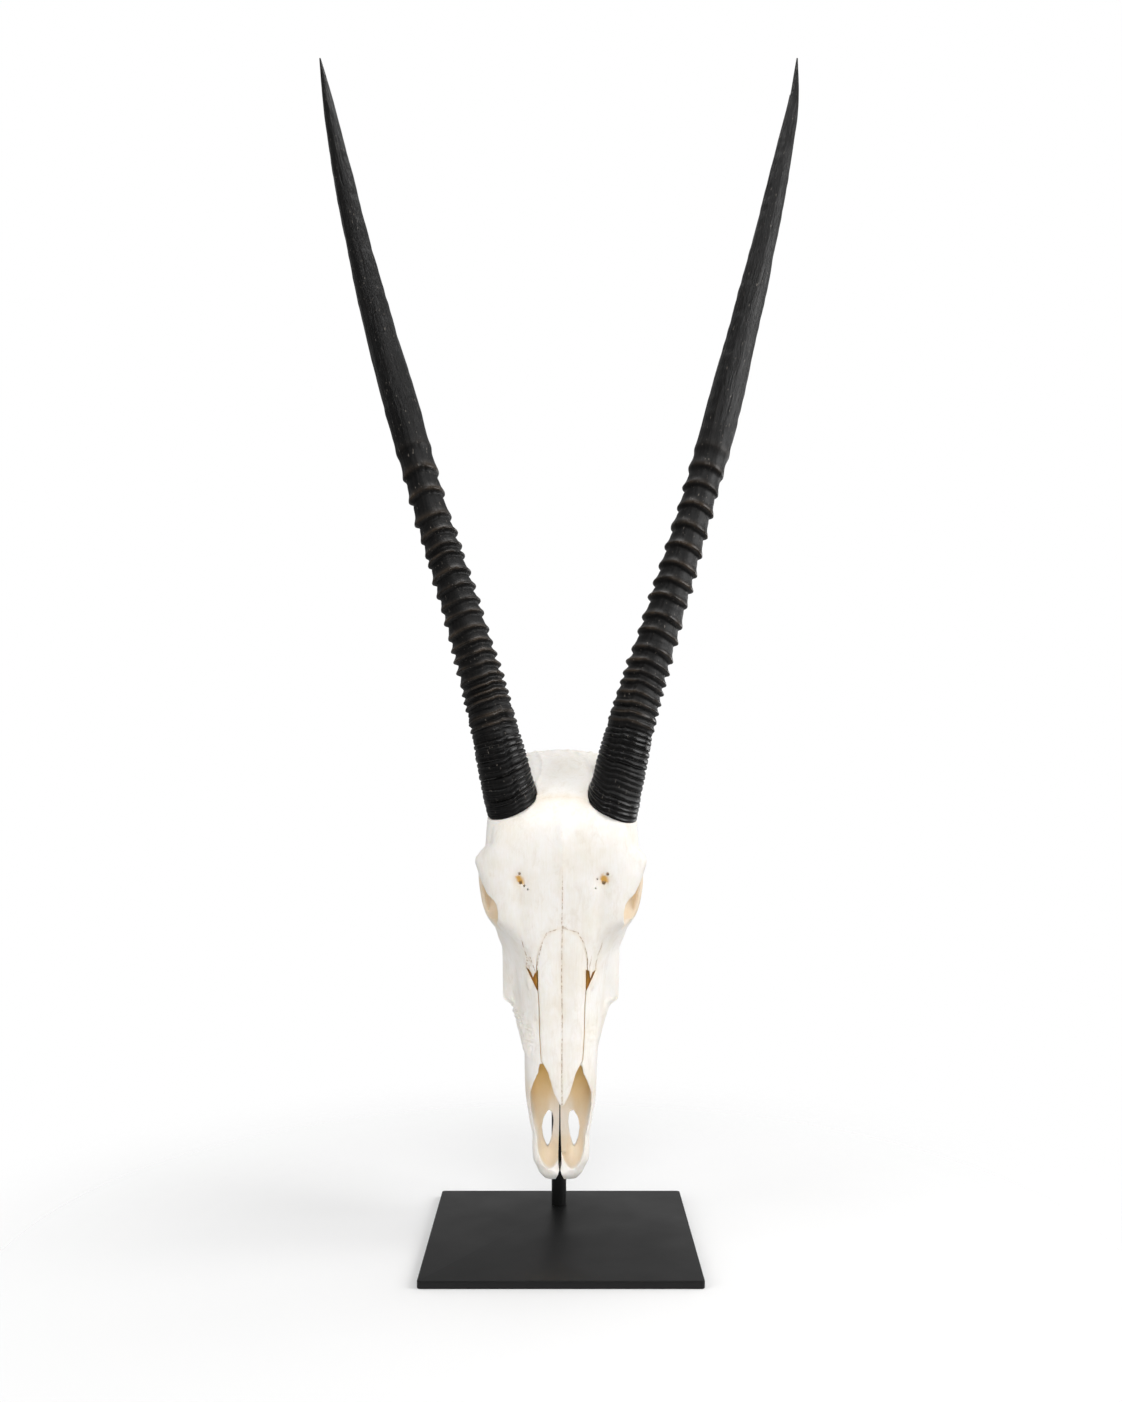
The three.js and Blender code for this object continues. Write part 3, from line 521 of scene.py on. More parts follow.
@dataclass(frozen=True)
class BleachedBone:
    """Dry bone, degreased and bleached with peroxide: chalky, matte, warm where fat stayed in it, with
    painted warm shade in its hollows.
    """

    chalk: str = "#f4f1ed"
    cream: str = "#ebe5da"
    veil: str = "#d8cdbd"
    stain: str = "#dfc294"
    # painted shade: warm ochre deep in the hollows
    hollow_shade: str = "#fbd07a"
    # painted shade down the lacrimal gaps and brow holes
    pit: str = "#d8a856"
    seam: str = "#a47c50"
    blotches: Pattern = Pattern(38.0, 5.0, 0.6)
    veils: Pattern = Pattern(11.0, 7.0, 0.72, along=0.45, bend=0.6)
    fibres: Pattern = Pattern(1.6, 3.0, 0.6, along=0.1)
    pores: Pattern = Pattern(0.7, 3.0, 0.7)
    beads: Pattern = Pattern(2.4)
    roughness: float = 0.58

    def make(self) -> bpy.types.Material:
        """Builds the material."""
        material, tree, place = blank_material("bleached_bone")
        patterns = (self.blotches, self.veils, self.fibres, self.pores, self.beads)
        blotch, veil, fibre, pore, bead = (pattern.add(tree, place) for pattern in patterns)
        names = ("stain", "hollow", "pit", "seam", "seam_strength")
        painted = {name: add_node(tree, "Attribute", {"attribute_name": name}, "Fac") for name in names}
        # patches of cream on the chalk with a faint fibre in them, and thin grey-tan veils
        patches = add_node(tree, "MapRange", {0: blotch, 1: 0.42, 2: 0.68, 3: 0.0, 4: 0.75})
        streaks = add_node(tree, "MapRange", {0: fibre, 1: 0.35, 2: 0.75, 3: 0.0, 4: 0.45})
        veiled = add_node(tree, "MapRange", {0: veil, 1: 0.52, 2: 0.78, 3: 0.0, 4: 0.6})
        mottled = add_node(tree, "MapRange", {0: blotch, 1: 0.3, 2: 0.7, 3: 0.55, 4: 1.15})
        creamy = add_node(tree, "Math", {"operation": "ADD", "use_clamp": True, 0: patches, 1: streaks})
        stained = add_node(
            tree, "Math", {"operation": "MULTIPLY", "use_clamp": True, 0: painted["stain"], 1: mottled}
        )
        seam = self._seam_line(tree, painted, pore, bead)
        layers = [
            (creamy, self.cream),
            (veiled, self.veil),
            # stains, with the eye sockets' tan as painted shade
            (stained, self.stain),
            # painted warm shade deep in the hollows
            (painted["hollow"], self.hollow_shade),
            # painted shade down the gaps and holes
            (painted["pit"], self.pit),
            (seam, self.seam),
        ]
        colour = srgb(self.chalk)
        for share, tint in layers:
            colour = add_node(tree, "Mix", {"data_type": "RGBA", 0: share, 6: colour, 7: srgb(tint)}, 2)
        # the sutures' grooves, then fibres, then pores
        groove = add_node(
            tree, "Bump", {"Height": seam, "Strength": 0.7, "Distance": 0.4 * MM, "invert": True}
        )
        fibred = add_node(
            tree, "Bump", {"Height": fibre, "Strength": 0.25, "Distance": 0.25 * MM, "Normal": groove}
        )
        porous = add_node(
            tree, "Bump", {"Height": pore, "Strength": 0.3, "Distance": 0.12 * MM, "Normal": fibred}
        )
        surface = {
            "Base Color": colour,
            "Normal": porous,
            "Roughness": self.roughness,
            "IOR": 1.5,
            "Specular IOR Level": 0.35,
            "Subsurface Weight": 0.12,
            "Subsurface Radius": (1.0, 0.6, 0.35),
            "Subsurface Scale": 1.5 * MM,
        }
        add_node(tree, "OutputMaterial", {"Surface": add_node(tree, "BsdfPrincipled", surface)})
        return material

    def _seam_line(self, tree: bpy.types.NodeTree, painted: dict[str, Any], fine: Any, broad: Any) -> Any:
        """Thin broken line where the signed distance from a suture is near nought."""
        wander = add_node(tree, "MapRange", {0: fine, 1: 0.3, 2: 0.7, 3: -0.5, 4: 0.5})
        shifted = add_node(tree, "Math", {"operation": "ADD", 0: painted["seam"], 1: wander})
        distance = add_node(tree, "Math", {"operation": "ABSOLUTE", 0: shifted})
        line = add_node(tree, "MapRange", {0: distance, 1: 0.1, 2: 0.5, 3: 0.85, 4: 0.0})
        broken = add_node(tree, "MapRange", {0: broad, 1: 0.42, 2: 0.56, 3: 0.1, 4: 1.0})
        kept = add_node(tree, "Math", {"operation": "MULTIPLY", 0: line, 1: broken})
        strength = {0: kept, 1: painted["seam_strength"]}
        return add_node(tree, "Math", {"operation": "MULTIPLY", "use_clamp": True, **strength})


@dataclass(frozen=True)
class HornKeratin:
    """Horn sheath: compacted keratin fibres, near black, polished on the crests of its rings."""

    black: str = "#0a0a0a"
    slate: str = "#191716"
    # brown of worn crests, which also stands in as their painted highlight
    umber: str = "#40362c"
    fleck: str = "#6b655e"
    fibres: Pattern = Pattern(1.8, 4.0, 0.65, along=0.035)
    patches: Pattern = Pattern(22.0, 6.0, 0.65, along=0.3)
    flecks: Pattern = Pattern(1.6, 1.0, along=0.3)
    strands: Pattern = Pattern(4.2, 5.0, 0.6, along=0.14, bend=0.5)
    pits: Pattern = Pattern(1.1)
    lean: tuple[float, float] = (8.5, 15.0)

    def make(self, side: Side) -> bpy.types.Material:
        """Builds the material of one horn, whose fibres follow its lean."""
        material, tree, place = blank_material(f"horn_keratin_{side.word}")
        back, out = (math.radians(angle) for angle in self.lean)
        turn = {"vector_type": "TEXTURE", "Rotation": (-back, out * side.value, 0)}
        upright = add_node(tree, "Mapping", {**turn, "Vector": place})
        patterns = (self.fibres, self.patches, self.flecks, self.strands, self.pits)
        fibre, patch, fleck, strand, pit = (pattern.add(tree, upright) for pattern in patterns)
        names = ("crest", "polish", "spear")
        crest, polish, spear = (
            add_node(tree, "Attribute", {"attribute_name": name}, "Fac") for name in names
        )
        # brown on worn crests that also stands in as their painted highlight, and dry flecks of raised
        # fibre that are paler than the rest
        streaks = add_node(tree, "MapRange", {0: fibre, 1: 0.45, 2: 0.75, 3: 0.0, 4: 0.9})
        wear_and_highlight_patches = add_node(tree, "MapRange", {0: patch, 1: 0.4, 2: 0.6, 3: 0.15, 4: 0.9})
        wear_and_highlight = add_node(tree, "Math", {"operation": "MULTIPLY", "use_clamp": True, 0: crest, 1: wear_and_highlight_patches})
        flecked = add_node(tree, "MapRange", {0: fleck, 1: 0.7, 2: 0.78, 3: 0.0, 4: 0.8})
        colour = srgb(self.black)
        for share, tint in [(streaks, self.slate), (wear_and_highlight, self.umber), (flecked, self.fleck)]:
            colour = add_node(tree, "Mix", {"data_type": "RGBA", 0: share, 6: colour, 7: srgb(tint)}, 2)
        # flutes of the spear, then fibres, then pits
        fluted = add_node(tree, "Bump", {"Height": strand, "Strength": spear, "Distance": 2.2 * MM})
        fibred = add_node(
            tree, "Bump", {"Height": fibre, "Strength": 0.45, "Distance": 0.4 * MM, "Normal": fluted}
        )
        pitted = add_node(
            tree, "Bump", {"Height": pit, "Strength": 0.4, "Distance": 0.3 * MM, "Normal": fibred}
        )
        # rubbed crests shine, the hollows between them stay dull
        gloss = add_node(tree, "MapRange", {0: polish, 1: 0.0, 2: 1.0, 3: 0.52, 4: 0.24})
        surface = {
            "Base Color": colour,
            "Normal": pitted,
            "Roughness": gloss,
            "IOR": 1.54,
            "Specular IOR Level": 0.27,
        }
        add_node(tree, "OutputMaterial", {"Surface": add_node(tree, "BsdfPrincipled", surface)})
        return material


@dataclass(frozen=True)
class ToothEnamel:
    """Enamel over dentine: ivory and glossy, with brown plant stain in its grooves."""

    ivory: str = "#e6d8bb"
    brown: str = "#7d5a35"
    mottles: Pattern = Pattern(5.0, 4.0)
    roughness: float = 0.32

    def make(self) -> bpy.types.Material:
        """Builds the material."""
        material, tree, place = blank_material("tooth_enamel")
        mottle = self.mottles.add(tree, place)
        stain = add_node(tree, "Attribute", {"attribute_name": "stain"}, "Fac")
        amount = add_node(tree, "MapRange", {0: mottle, 1: 0.3, 2: 0.7, 3: 0.3, 4: 1.2})
        share = add_node(tree, "Math", {"operation": "MULTIPLY", "use_clamp": True, 0: stain, 1: amount})
        tints = {6: srgb(self.ivory), 7: srgb(self.brown)}
        surface = {
            "Base Color": add_node(tree, "Mix", {"data_type": "RGBA", 0: share, **tints}, 2),
            "Normal": add_node(tree, "Bump", {"Height": mottle, "Strength": 0.2, "Distance": 0.3 * MM}),
            "Roughness": self.roughness,
            "IOR": 1.62,
        }
        add_node(tree, "OutputMaterial", {"Surface": add_node(tree, "BsdfPrincipled", surface)})
        return material


@dataclass(frozen=True)
class PowderCoat:
    """Matte black polyester powder on mild steel: an even coat with a faint orange peel."""

    colour: str = "#111111"
    peel: Pattern = Pattern(0.9)
    clouds: Pattern = Pattern(60.0, 3.0)
    roughness: float = 0.4

    def make(self) -> bpy.types.Material:
        """Builds the material."""
        material, tree, place = blank_material("powder_coated_steel")
        cloud, peel = self.clouds.add(tree, place), self.peel.add(tree, place)
        dull, bright = self.roughness - 0.04, self.roughness + 0.05
        surface = {
            "Base Color": srgb(self.colour),
            "Normal": add_node(tree, "Bump", {"Height": peel, "Strength": 0.15, "Distance": 0.08 * MM}),
            "Roughness": add_node(tree, "MapRange", {0: cloud, 1: 0.3, 2: 0.7, 3: dull, 4: bright}),
            "IOR": 1.5,
            "Specular IOR Level": 0.25,
        }
        add_node(tree, "OutputMaterial", {"Surface": add_node(tree, "BsdfPrincipled", surface)})
        return material


@dataclass(frozen=True)
class BlackenedSteel:
    """Chemically blackened screw: a thin dark oxide that still looks like metal."""

    colour: str = "#3b3c3f"
    mottles: Pattern = Pattern(1.5, 3.0)
    roughness: float = 0.38

    def make(self) -> bpy.types.Material:
        """Builds the material."""
        material, tree, place = blank_material("blackened_steel")
        mottle = self.mottles.add(tree, place)
        smooth, dull = self.roughness - 0.08, self.roughness + 0.1
        surface = {
            "Base Color": srgb(self.colour),
            "Metallic": 1.0,
            "Roughness": add_node(tree, "MapRange", {0: mottle, 1: 0.3, 2: 0.7, 3: smooth, 4: dull}),
        }
        add_node(tree, "OutputMaterial", {"Surface": add_node(tree, "BsdfPrincipled", surface)})
        return material


# ---------------------------------------------------------------- skull

# Half rings of the head from the nose up: height, then (x, y) points from the middle of the face
# round the side to the middle of the palate or skull base: the roof, its edge, the upper side, the
# widest side, below it, the outer and the inner edge of the tooth row, and the middle.
HEAD_RINGS = [
    (0.5, [(0, -16), (8, -16), (13, -14), (14.8, -10), (13, -6), (10, -4.5), (6, -4), (0, -4)]),
    (6, [(0, -21), (10, -20.5), (17.5, -17), (20.3, -11), (19, -4), (15, -1.5), (9, -0.5), (0, -0.5)]),
    (13, [(0, -23), (12, -22.5), (20.5, -19), (23.6, -11), (22, -3), (18, 0.5), (10, 2), (0, 2)]),
    (20, [(0, -25), (14, -24.5), (23.5, -21), (26.6, -12), (25, -3), (20, 2), (11, 3.5), (0, 4)]),
    (31, [(0, -27), (15, -26.5), (24.5, -22), (27.4, -12), (25.5, -2), (20, 4), (11, 5), (0, 5)]),
    (41, [(0, -29), (16, -28.5), (24.5, -23), (27, -11), (25, -1), (20, 5), (11, 6), (0, 6)]),
    (52, [(0, -38), (17, -32), (26.5, -25), (29.3, -10), (27, 1), (21, 7), (12, 8), (0, 8)]),
    (63, [(0, -46), (18, -38), (28, -28), (31.2, -9), (29, 3), (23, 10), (13, 10), (0, 10)]),
    (76, [(0, -54), (19, -45), (30, -31), (33.4, -7), (31, 6), (25, 13), (14, 13), (0, 12)]),
    (90, [(0, -58), (19.5, -51), (30.5, -35), (34.4, -5), (32, 9), (26, 17), (15, 16), (0, 14)]),
    (104, [(0, -60.5), (20, -55.5), (31, -38), (35, -3), (33, 12), (27.5, 21), (16, 19), (0, 16)]),
    (122, [(0, -62), (20.5, -57), (32, -39), (35.6, -1), (34, 15), (29, 25), (18, 22), (0, 17.5)]),
    (134, [(0, -63), (21, -58), (33, -40), (38.7, 0), (36, 16), (32, 27), (20, 24), (0, 18)]),
    (151, [(0, -64), (21.5, -59.5), (37, -30), (43.6, 2), (39, 16), (35.5, 27), (19, 27), (0, 19)]),
    (160, [(0, -64.5), (22, -60), (39, -26), (47.5, 5), (42, 15), (37.5, 27), (19, 27), (0, 19)]),
    (168.5, [(0, -65), (22.5, -60.5), (41, -23), (56.5, 6), (46, 14), (39, 27), (20, 27), (0, 19)]),
    (190, [(0, -66.5), (24, -61.5), (43, -22), (56.6, 4), (48, 14), (42.5, 27), (22, 27), (0, 19)]),
    (215, [(0, -68), (28, -63), (46, -26), (56.9, 2), (50, 14), (44.5, 27), (24, 27), (0, 19)]),
    (229, [(0, -70), (33, -65), (50, -35), (61.5, 0), (53, 14), (45, 27), (25, 27), (0, 19)]),
    (239, [(0, -71), (38, -67), (55, -45), (65, -1), (55, 13), (44, 24), (24, 24), (0, 19)]),
    (250, [(0, -72), (42, -69), (61, -56), (71, -3), (58, 10), (38, 16), (20, 20), (0, 20)]),
    (264, [(0, -73.5), (46, -70.5), (66, -58), (75.5, -5), (62, 9), (34, 16), (16, 24), (0, 24)]),
    (280, [(0, -75), (50, -71.5), (71, -58), (77.3, -8), (64, 9), (34, 18), (16, 28), (0, 28)]),
    (293, [(0, -76), (54, -72), (75, -58), (78.3, -22), (68, 6), (38, 20), (20, 32), (0, 31)]),
    (304, [(0, -76.5), (56, -72), (77, -57), (80, -40), (66, 0), (42, 20), (22, 35), (0, 34)]),
    (313, [(0, -76.5), (57, -71.5), (72, -58), (75, -42), (56, -6), (42, 20), (24, 38), (0, 37)]),
    (322, [(0, -76), (56, -70.5), (66, -57), (68.2, -42), (52, -8), (42, 22), (24, 40), (0, 39)]),
    (337, [(0, -73), (54, -67), (65, -52), (66.5, -34), (48, -6), (42, 24), (24, 42), (0, 41)]),
    (350, [(0, -66), (40, -62), (56, -48), (58, -28), (46, -4), (43, 26), (25, 44), (0, 42)]),
    (362, [(0, -56), (30, -53), (44, -42), (49, -20), (46, 0), (46, 28), (26, 44), (0, 42)]),
    (378, [(0, -35), (27, -33.5), (42, -27), (48, -10), (50, 8), (48, 28), (28, 40), (0, 36)]),
    (393, [(0, -14), (26, -13.5), (42, -9), (50, 2), (52, 12), (45, 22), (26, 27), (0, 25)]),
    (402, [(0, -2), (24, -1.5), (38, 3), (45, 8), (44, 12), (36, 17), (20, 19), (0, 18)]),
    (407, [(0, 5), (16, 5.5), (25, 7), (31, 9), (30, 11.5), (24, 14), (14, 15), (0, 15)]),
    (409, [(0, 8), (7, 8.2), (11, 9), (14, 10), (13, 11.2), (10, 12.3), (6, 13), (0, 13)]),
]
RING_TENSION = 0.42

# Outlines seen from the front as (x, height) points, for the right half.
NOSTRIL_EDGE = [
    (19.3, 118), (21, 109), (25, 99), (28.3, 88), (28, 72), (25, 54), (22, 41), (20, 31),
    (15, 19), (4.5, 8.5),
]
NASAL_EDGE = [
    (2.4, 80), (7.2, 90), (13, 110), (19, 121), (20.4, 145), (21, 172), (23.3, 204), (22.8, 217),
    (18.8, 231), (14, 238.5), (2.6, 243.5),
]
PALATE_HOLE = [(12.5, 25.5), (17, 36), (18.4, 46), (16.8, 55), (12, 60.8), (8.4, 58), (7.2, 50), (8.6, 38)]
LACRIMAL_GAPS = {
    Side.LEFT: [(-21, 184), (-32.6, 205.6), (-29.6, 204), (-27.3, 200.8), (-25.9, 197), (-24.2, 201.5),
                (-21, 205)],
    Side.RIGHT: [(23, 184), (32.6, 203), (29.4, 201.5), (27.3, 196), (26.3, 203.6), (23, 205)],
}
ORBIT_RIM = [
    (77, 287), (72.5, 280), (68.4, 274), (62.5, 269), (59.4, 264), (58.2, 257), (58.6, 249), (60.5, 243.5),
    (66, 241), (90, 240), (90, 290),
]
# Brow holes and their satellites: distance from the middle, height and radius.
BROW_HOLES = {
    Side.LEFT: [(38.1, 288.9, 1.8), (38.7, 296.2, 1.2), (34.4, 285.2, 1.1), (31, 281.5, 0.9)],
    Side.RIGHT: [(40.5, 288.9, 2.0), (43.8, 295.8, 1.4), (34.1, 291.2, 0.9), (32.6, 282.8, 0.8)],
}
ORBIT_MIDDLE, ORBIT_RADII = (84, -30, 266), (40, 32, 27)  # right eye socket
MIDLINE_X = 1.0
PREMAXILLA_SEAM_X = -1.0
SUTURE_HEIGHT, SUTURE_SLOPE = 70.0, 0.75

# Closed sutures of the face, as (x, height) points.
FACE_SEAMS = [
    [(0.9, 362), (0.7, 330), (1.3, 300), (1.4, 270), (0.8, 245)],
    [(-27, 360), (-15, 363), (1, 364.3), (18, 363), (29, 360)],
    [(-36, 230), (-33.4, 221), (-31.6, 215), (-32.4, 206)],
    [(-30, 213), (-29.5, 204)],
    [(-28.4, 215), (-25.6, 208), (-23.4, 203)],
    [(38, 227), (34.8, 218), (32.8, 210), (32.4, 204)],
    [(28.2, 215), (26.6, 208), (26, 203)],
    [(1.2, 245), (0.6, 200), (1.2, 160), (0.8, 120), (1, 79)],
    [(-22.3, 205), (-20.6, 217), (-17, 231), (-12.9, 239.5), (-6, 242)],
    [(24.4, 204), (24.6, 217), (21, 230), (15.4, 240), (8, 242), (1, 244.5)],
]
TEMPORAL_LINES = [
    [(-22.5, 406), (-17.6, 397), (-18.4, 386), (-23, 377)],
    [(24.5, 400), (29, 390), (31, 380)],
]


def ring_points(rings: Sequence[tuple[float, Outline]], heights: Array, turns: Array) -> Array:
    """Points on the smooth skin through half rings and their mirror images.

    Args:
        rings: Heights, each with its half ring.
        heights: Height of each wanted point.
        turns: Its turn from 0 to 1, from the middle of the face towards +X.

    Returns:
        Points in the head's millimetres.
    """
    full = [list(half) + [(-x, y) for x, y in half[-2:0:-1]] for _, half in rings]
    controls = np.array(full, float)
    count = controls.shape[1]
    levels, which = np.unique(heights, return_inverse=True)
    at_level = monotone([height for height, _ in rings], controls.reshape(len(rings), -1), levels)
    ring = at_level.reshape(len(levels), count, 2)[which]
    stop = (turns * count) % count
    k = np.floor(stop).astype(int)
    t = (stop - k)[:, None]
    pick = np.arange(len(turns))
    before, here = ring[pick, (k - 1) % count], ring[pick, k]
    after, beyond = ring[pick, (k + 1) % count], ring[pick, (k + 2) % count]
    flat = cubic(here, after, RING_TENSION * (after - before), RING_TENSION * (beyond - here), t)
    return np.column_stack([flat, heights])


def ring_skin(name: str, rings: Sequence[tuple[float, Outline]], step: float) -> bpy.types.Object:
    """Closed skin through half rings, with rows about one step apart."""
    low, high = rings[0][0], rings[-1][0]
    rows = int((high - low) / step) + 3
    heights = np.concatenate([[low], np.linspace(low, high, rows - 2), [high]])

    def place(turns: Array, row: Array) -> Array:
        points = ring_points(rings, heights[row], turns)
        for pole in (0, rows - 1):
            at_pole = row == pole
            points[at_pole] = points[at_pole].mean(axis=0)
        return points + np.array([0, 0, NOSE_HEIGHT])

    return sleeve(name, 168, rows, place)


@dataclass
class Skull:
    """Skull with its separate nasal bones and premaxillae."""

    bone_wall: float = 3.5
    floor_wall: float = 4.5
    cavity_range: tuple[float, float] = (24, 236)
    cavity_deepest: float = 7.0
    cavity_widest: float = 36.0
    nasal_slit: float = 0.55
    brow_hole: tuple[float, float] = (39.5, 289.5)
    skin_cell: float = 1.0
    cheek_rounds: int = 90
    joint_rounds: int = 14
    most_triangles: int = 172000
    hull: BVHTree | None = field(default=None, init=False)

    def build(self, finish: bpy.types.Material, horns: Sequence["Horn"], teeth: Sequence["Tooth"]) -> None:
        """Builds and dresses all five bones.

        Args:
            finish: Bone material.
            horns: Horns that stand on the skull.
            teeth: Teeth that need sockets.
        """
        head = ring_skin("head", HEAD_RINGS, 1.8)
        self.hull = BVHTree.FromObject(head, bpy.context.evaluated_depsgraph_get())
        self._carve(head, horns)
        self._open_nose(head)
        self._keep_largest(head)
        resurface(head, self.skin_cell, 4, self.most_triangles)
        x, y, height = head_points(head).T
        cheek = (np.abs(x) > 33) & (y > -42) & (y < -4) & (height > 150) & (height < 246)
        self._soften(head, cheek, self.cheek_rounds)
        joints = (np.abs(x) > 15) & (y > 12) & (height > 316)
        self._soften(head, joints, self.joint_rounds)
        self._refine(head)
        self._sculpt(head)
        self._pierce(head, teeth)
        for node, piece in self._split(head).items():
            self._keep_largest(piece)
            self._stain(piece)
            finish_piece(piece, node, finish)

    def _split(self, head: bpy.types.Object) -> dict[str, bpy.types.Object]:
        """Parts the head along its open sutures into its five bones."""
        pieces = {}
        for side in Side:
            bone = twin(head, f"nasal_{side.word}")
            combine(bone, [prism("nasal_plate", self._nasal_outline(side), -100, -51)], "INTERSECT")
            pieces[f"nasal_{side.word}"] = bone
        edge_count = len(NASAL_EDGE)
        margins = [self.nasal_slit] * (edge_count - 4) + [0.3, 0.0, 0.0, 0.0, 0.0, 0.0]
        rooms = [prism("nasal_room", grown(self._nasal_outline(side), margins), -100, -51) for side in Side]
        combine(head, rooms, "DIFFERENCE")
        for side in Side:
            half = twin(head, f"premaxilla_{side.word}")
            combine(half, [self._premaxilla_region(side)], "INTERSECT")
            pieces[f"premaxilla_{side.word}"] = half
        combine(head, [self._premaxilla_region(side) for side in Side], "DIFFERENCE")
        pieces["skull"] = head
        return pieces

    def _soften(self, head: bpy.types.Object, near: Array, rounds: int) -> None:
        """Smooths part of the skin, such as the facial crests, which the rings leave too square.

        Args:
            head: Head with its even skin.
            near: Whether each vertex belongs to the part.
            rounds: How often it is smoothed.
        """
        choose(head, "VERT", near)
        with editing(head, select_all=False):
            bpy.ops.mesh.vertices_smooth(factor=0.5, repeat=rounds)

    def _refine(self, head: bpy.types.Object) -> None:
        """Halves the faces beside the sutures of the face, so that fine grooves can be sculpted."""
        x, y, height = (read(head.data.polygons, "center") / MM - np.array([0, 0, NOSE_HEIGHT])).T
        near = np.abs(x - MIDLINE_X) < 3.5
        for side in Side:
            edge = self._nasal_outline(side)
            near |= line_distance(x, height, edge + edge[:1])[0] < 4
            near |= np.hypot(x - side.value * self.brow_hole[0], height - self.brow_hole[1]) < 12
        near &= (y < -40) & (height > 76) & (height < 366)
        near |= (height > 372) & (y < 12) & (np.abs(x) < 42)
        choose(head, "FACE", near)
        with editing(head, select_all=False):
            bpy.ops.mesh.subdivide(number_cuts=1)

    def _keep_largest(self, piece: bpy.types.Object) -> None:
        """Deletes crumbs that a cut left beside the main body."""
        edges = read(piece.data.edges, "vertices", 2, int)
        label = np.arange(len(piece.data.vertices))
        while True:
            low = np.minimum(label[edges[:, 0]], label[edges[:, 1]])
            spread = label.copy()
            np.minimum.at(spread, edges[:, 0], low)
            np.minimum.at(spread, edges[:, 1], low)
            spread = spread[spread]
            if np.array_equal(spread, label):
                break
            label = spread
        names, counts = np.unique(label, return_counts=True)
        if len(names) == 1:
            return
        choose(piece, "VERT", label != names[np.argmax(counts)])
        with editing(piece, select_all=False):
            bpy.ops.mesh.delete(type="VERT")

    def _carve(self, head: bpy.types.Object, horns: Sequence["Horn"]) -> None:
        """Adds what stands out of the head and takes out its hollows."""
        combine(head, [horn.pedicle() for horn in horns], "UNION")
        combine(head, [horn.room() for horn in horns], "DIFFERENCE")
        for side in Side:
            s = side.value
            hollows = [
                ellipsoid("orbit", (s * ORBIT_MIDDLE[0], *ORBIT_MIDDLE[1:]), ORBIT_RADII),
                ellipsoid("temple", (s * 76, -8, 341), (34, 27, 29)),
                ellipsoid("jaw_room", (s * 47, 15, 300), (20, 25, 45)),
                rod("optic_canal", (s * 60, -22, 270), (s * 36, -4, 296), (5.5, 3.5)),
            ]
            combine(head, hollows, "DIFFERENCE")
        for side in Side:
            s = side.value
            parts = [
                ellipsoid("condyle", (s * 22.5, 50, 369), (11, 13, 16)),
                ellipsoid("bulla", (s * 24, 42, 334), (10, 13, 14)),
                rod("process", (s * 40, 18, 366), (s * 34, 66, 352), (13, 3.5)),
                ellipsoid("pterygoid", (s * 14.5, 21, 270), (2.6, 18, 38)),
                self._cheek_arch(side),
                rod("eye_bar", (s * 74, -34, 302), (s * 73, 6, 298), (6.5, 5)),
            ]
            combine(head, parts, "UNION")
        hollows = [
            ellipsoid("braincase", (0, -2, 358), (33, 31, 30)),
            rod("spinal_opening", (0, 70, 388), (0, 8, 364), (15.5, 15.5)),
            ellipsoid("inner_nostrils", (0, 26, 248), (11.5, 26, 24)),
            ring_skin("nasal_cavity", self._cavity_rings(), 3.0),
            Stand().post_shape("post_room", FIT_GAP),
        ]
        combine(head, hollows, "DIFFERENCE")

    def _cavity_rings(self) -> list[tuple[float, Outline]]:
        """Rings of the nasal cavity, one wall thickness inside the head's."""
        rings = []
        wall = self.bone_wall
        for height, half in HEAD_RINGS[1::2]:
            if not self.cavity_range[0] < height < self.cavity_range[1]:
                continue
            floor = min(half[7][1] - self.floor_wall, self.cavity_deepest)
            width = [max(min(x, self.cavity_widest + wall) - wall, 1) for x, _ in half]
            inner = [
                (0, half[0][1] + wall),
                (half[1][0], half[1][1] + wall + 0.5),
                (width[2], half[2][1] + 1),
                (width[3], min(half[3][1] - 12, floor)),
                (width[4] * 0.86, min(half[4][1] - 10, floor)),
                (width[5] * 0.66, min(half[5][1], floor) - 2),
                (half[6][0] * 0.6, floor),
                (0, floor),
            ]
            rings.append((height, inner))
        lowest, first = rings[0]
        shrunk = [(x * 0.3, -14 + (y + 14) * 0.3) for x, y in first]
        return [(lowest - 17, shrunk), *rings]

    def _cheek_arch(self, side: Side) -> bpy.types.Object:
        """Cheek bar from below the eye back to the ear region."""
        s = side.value
        path = [(58, 6, 232), (70, 4, 250), (75.5, 3, 272), (76.5, 6, 294), (70, 12, 316), (61, 17, 340),
                (46, 22, 356)]
        rows = 42
        line = spline([(x * s, y, z) for x, y, z in path], rows - 2)
        centre = np.vstack([line[:1], line, line[-1:]])

        def place(turns: Array, row: Array) -> Array:
            reach = ((row > 0) & (row < rows - 1)).astype(float)
            angle = turns * TURN
            offset = np.column_stack([3.6 * np.cos(angle), 8 * np.sin(angle), 0 * angle])
            return centre[row] + offset * reach[:, None] + np.array([0, 0, NOSE_HEIGHT])

        return sleeve("cheek_arch", 28, rows, place)

    def _nasal_outline(self, side: Side) -> list[tuple[float, float]]:
        """Outline of one nasal bone."""
        edge = [(x + MIDLINE_X, height) for x, height in mirrored(NASAL_EDGE, side)]
        return edge + [(MIDLINE_X, 243.5), (MIDLINE_X, 78.5)]

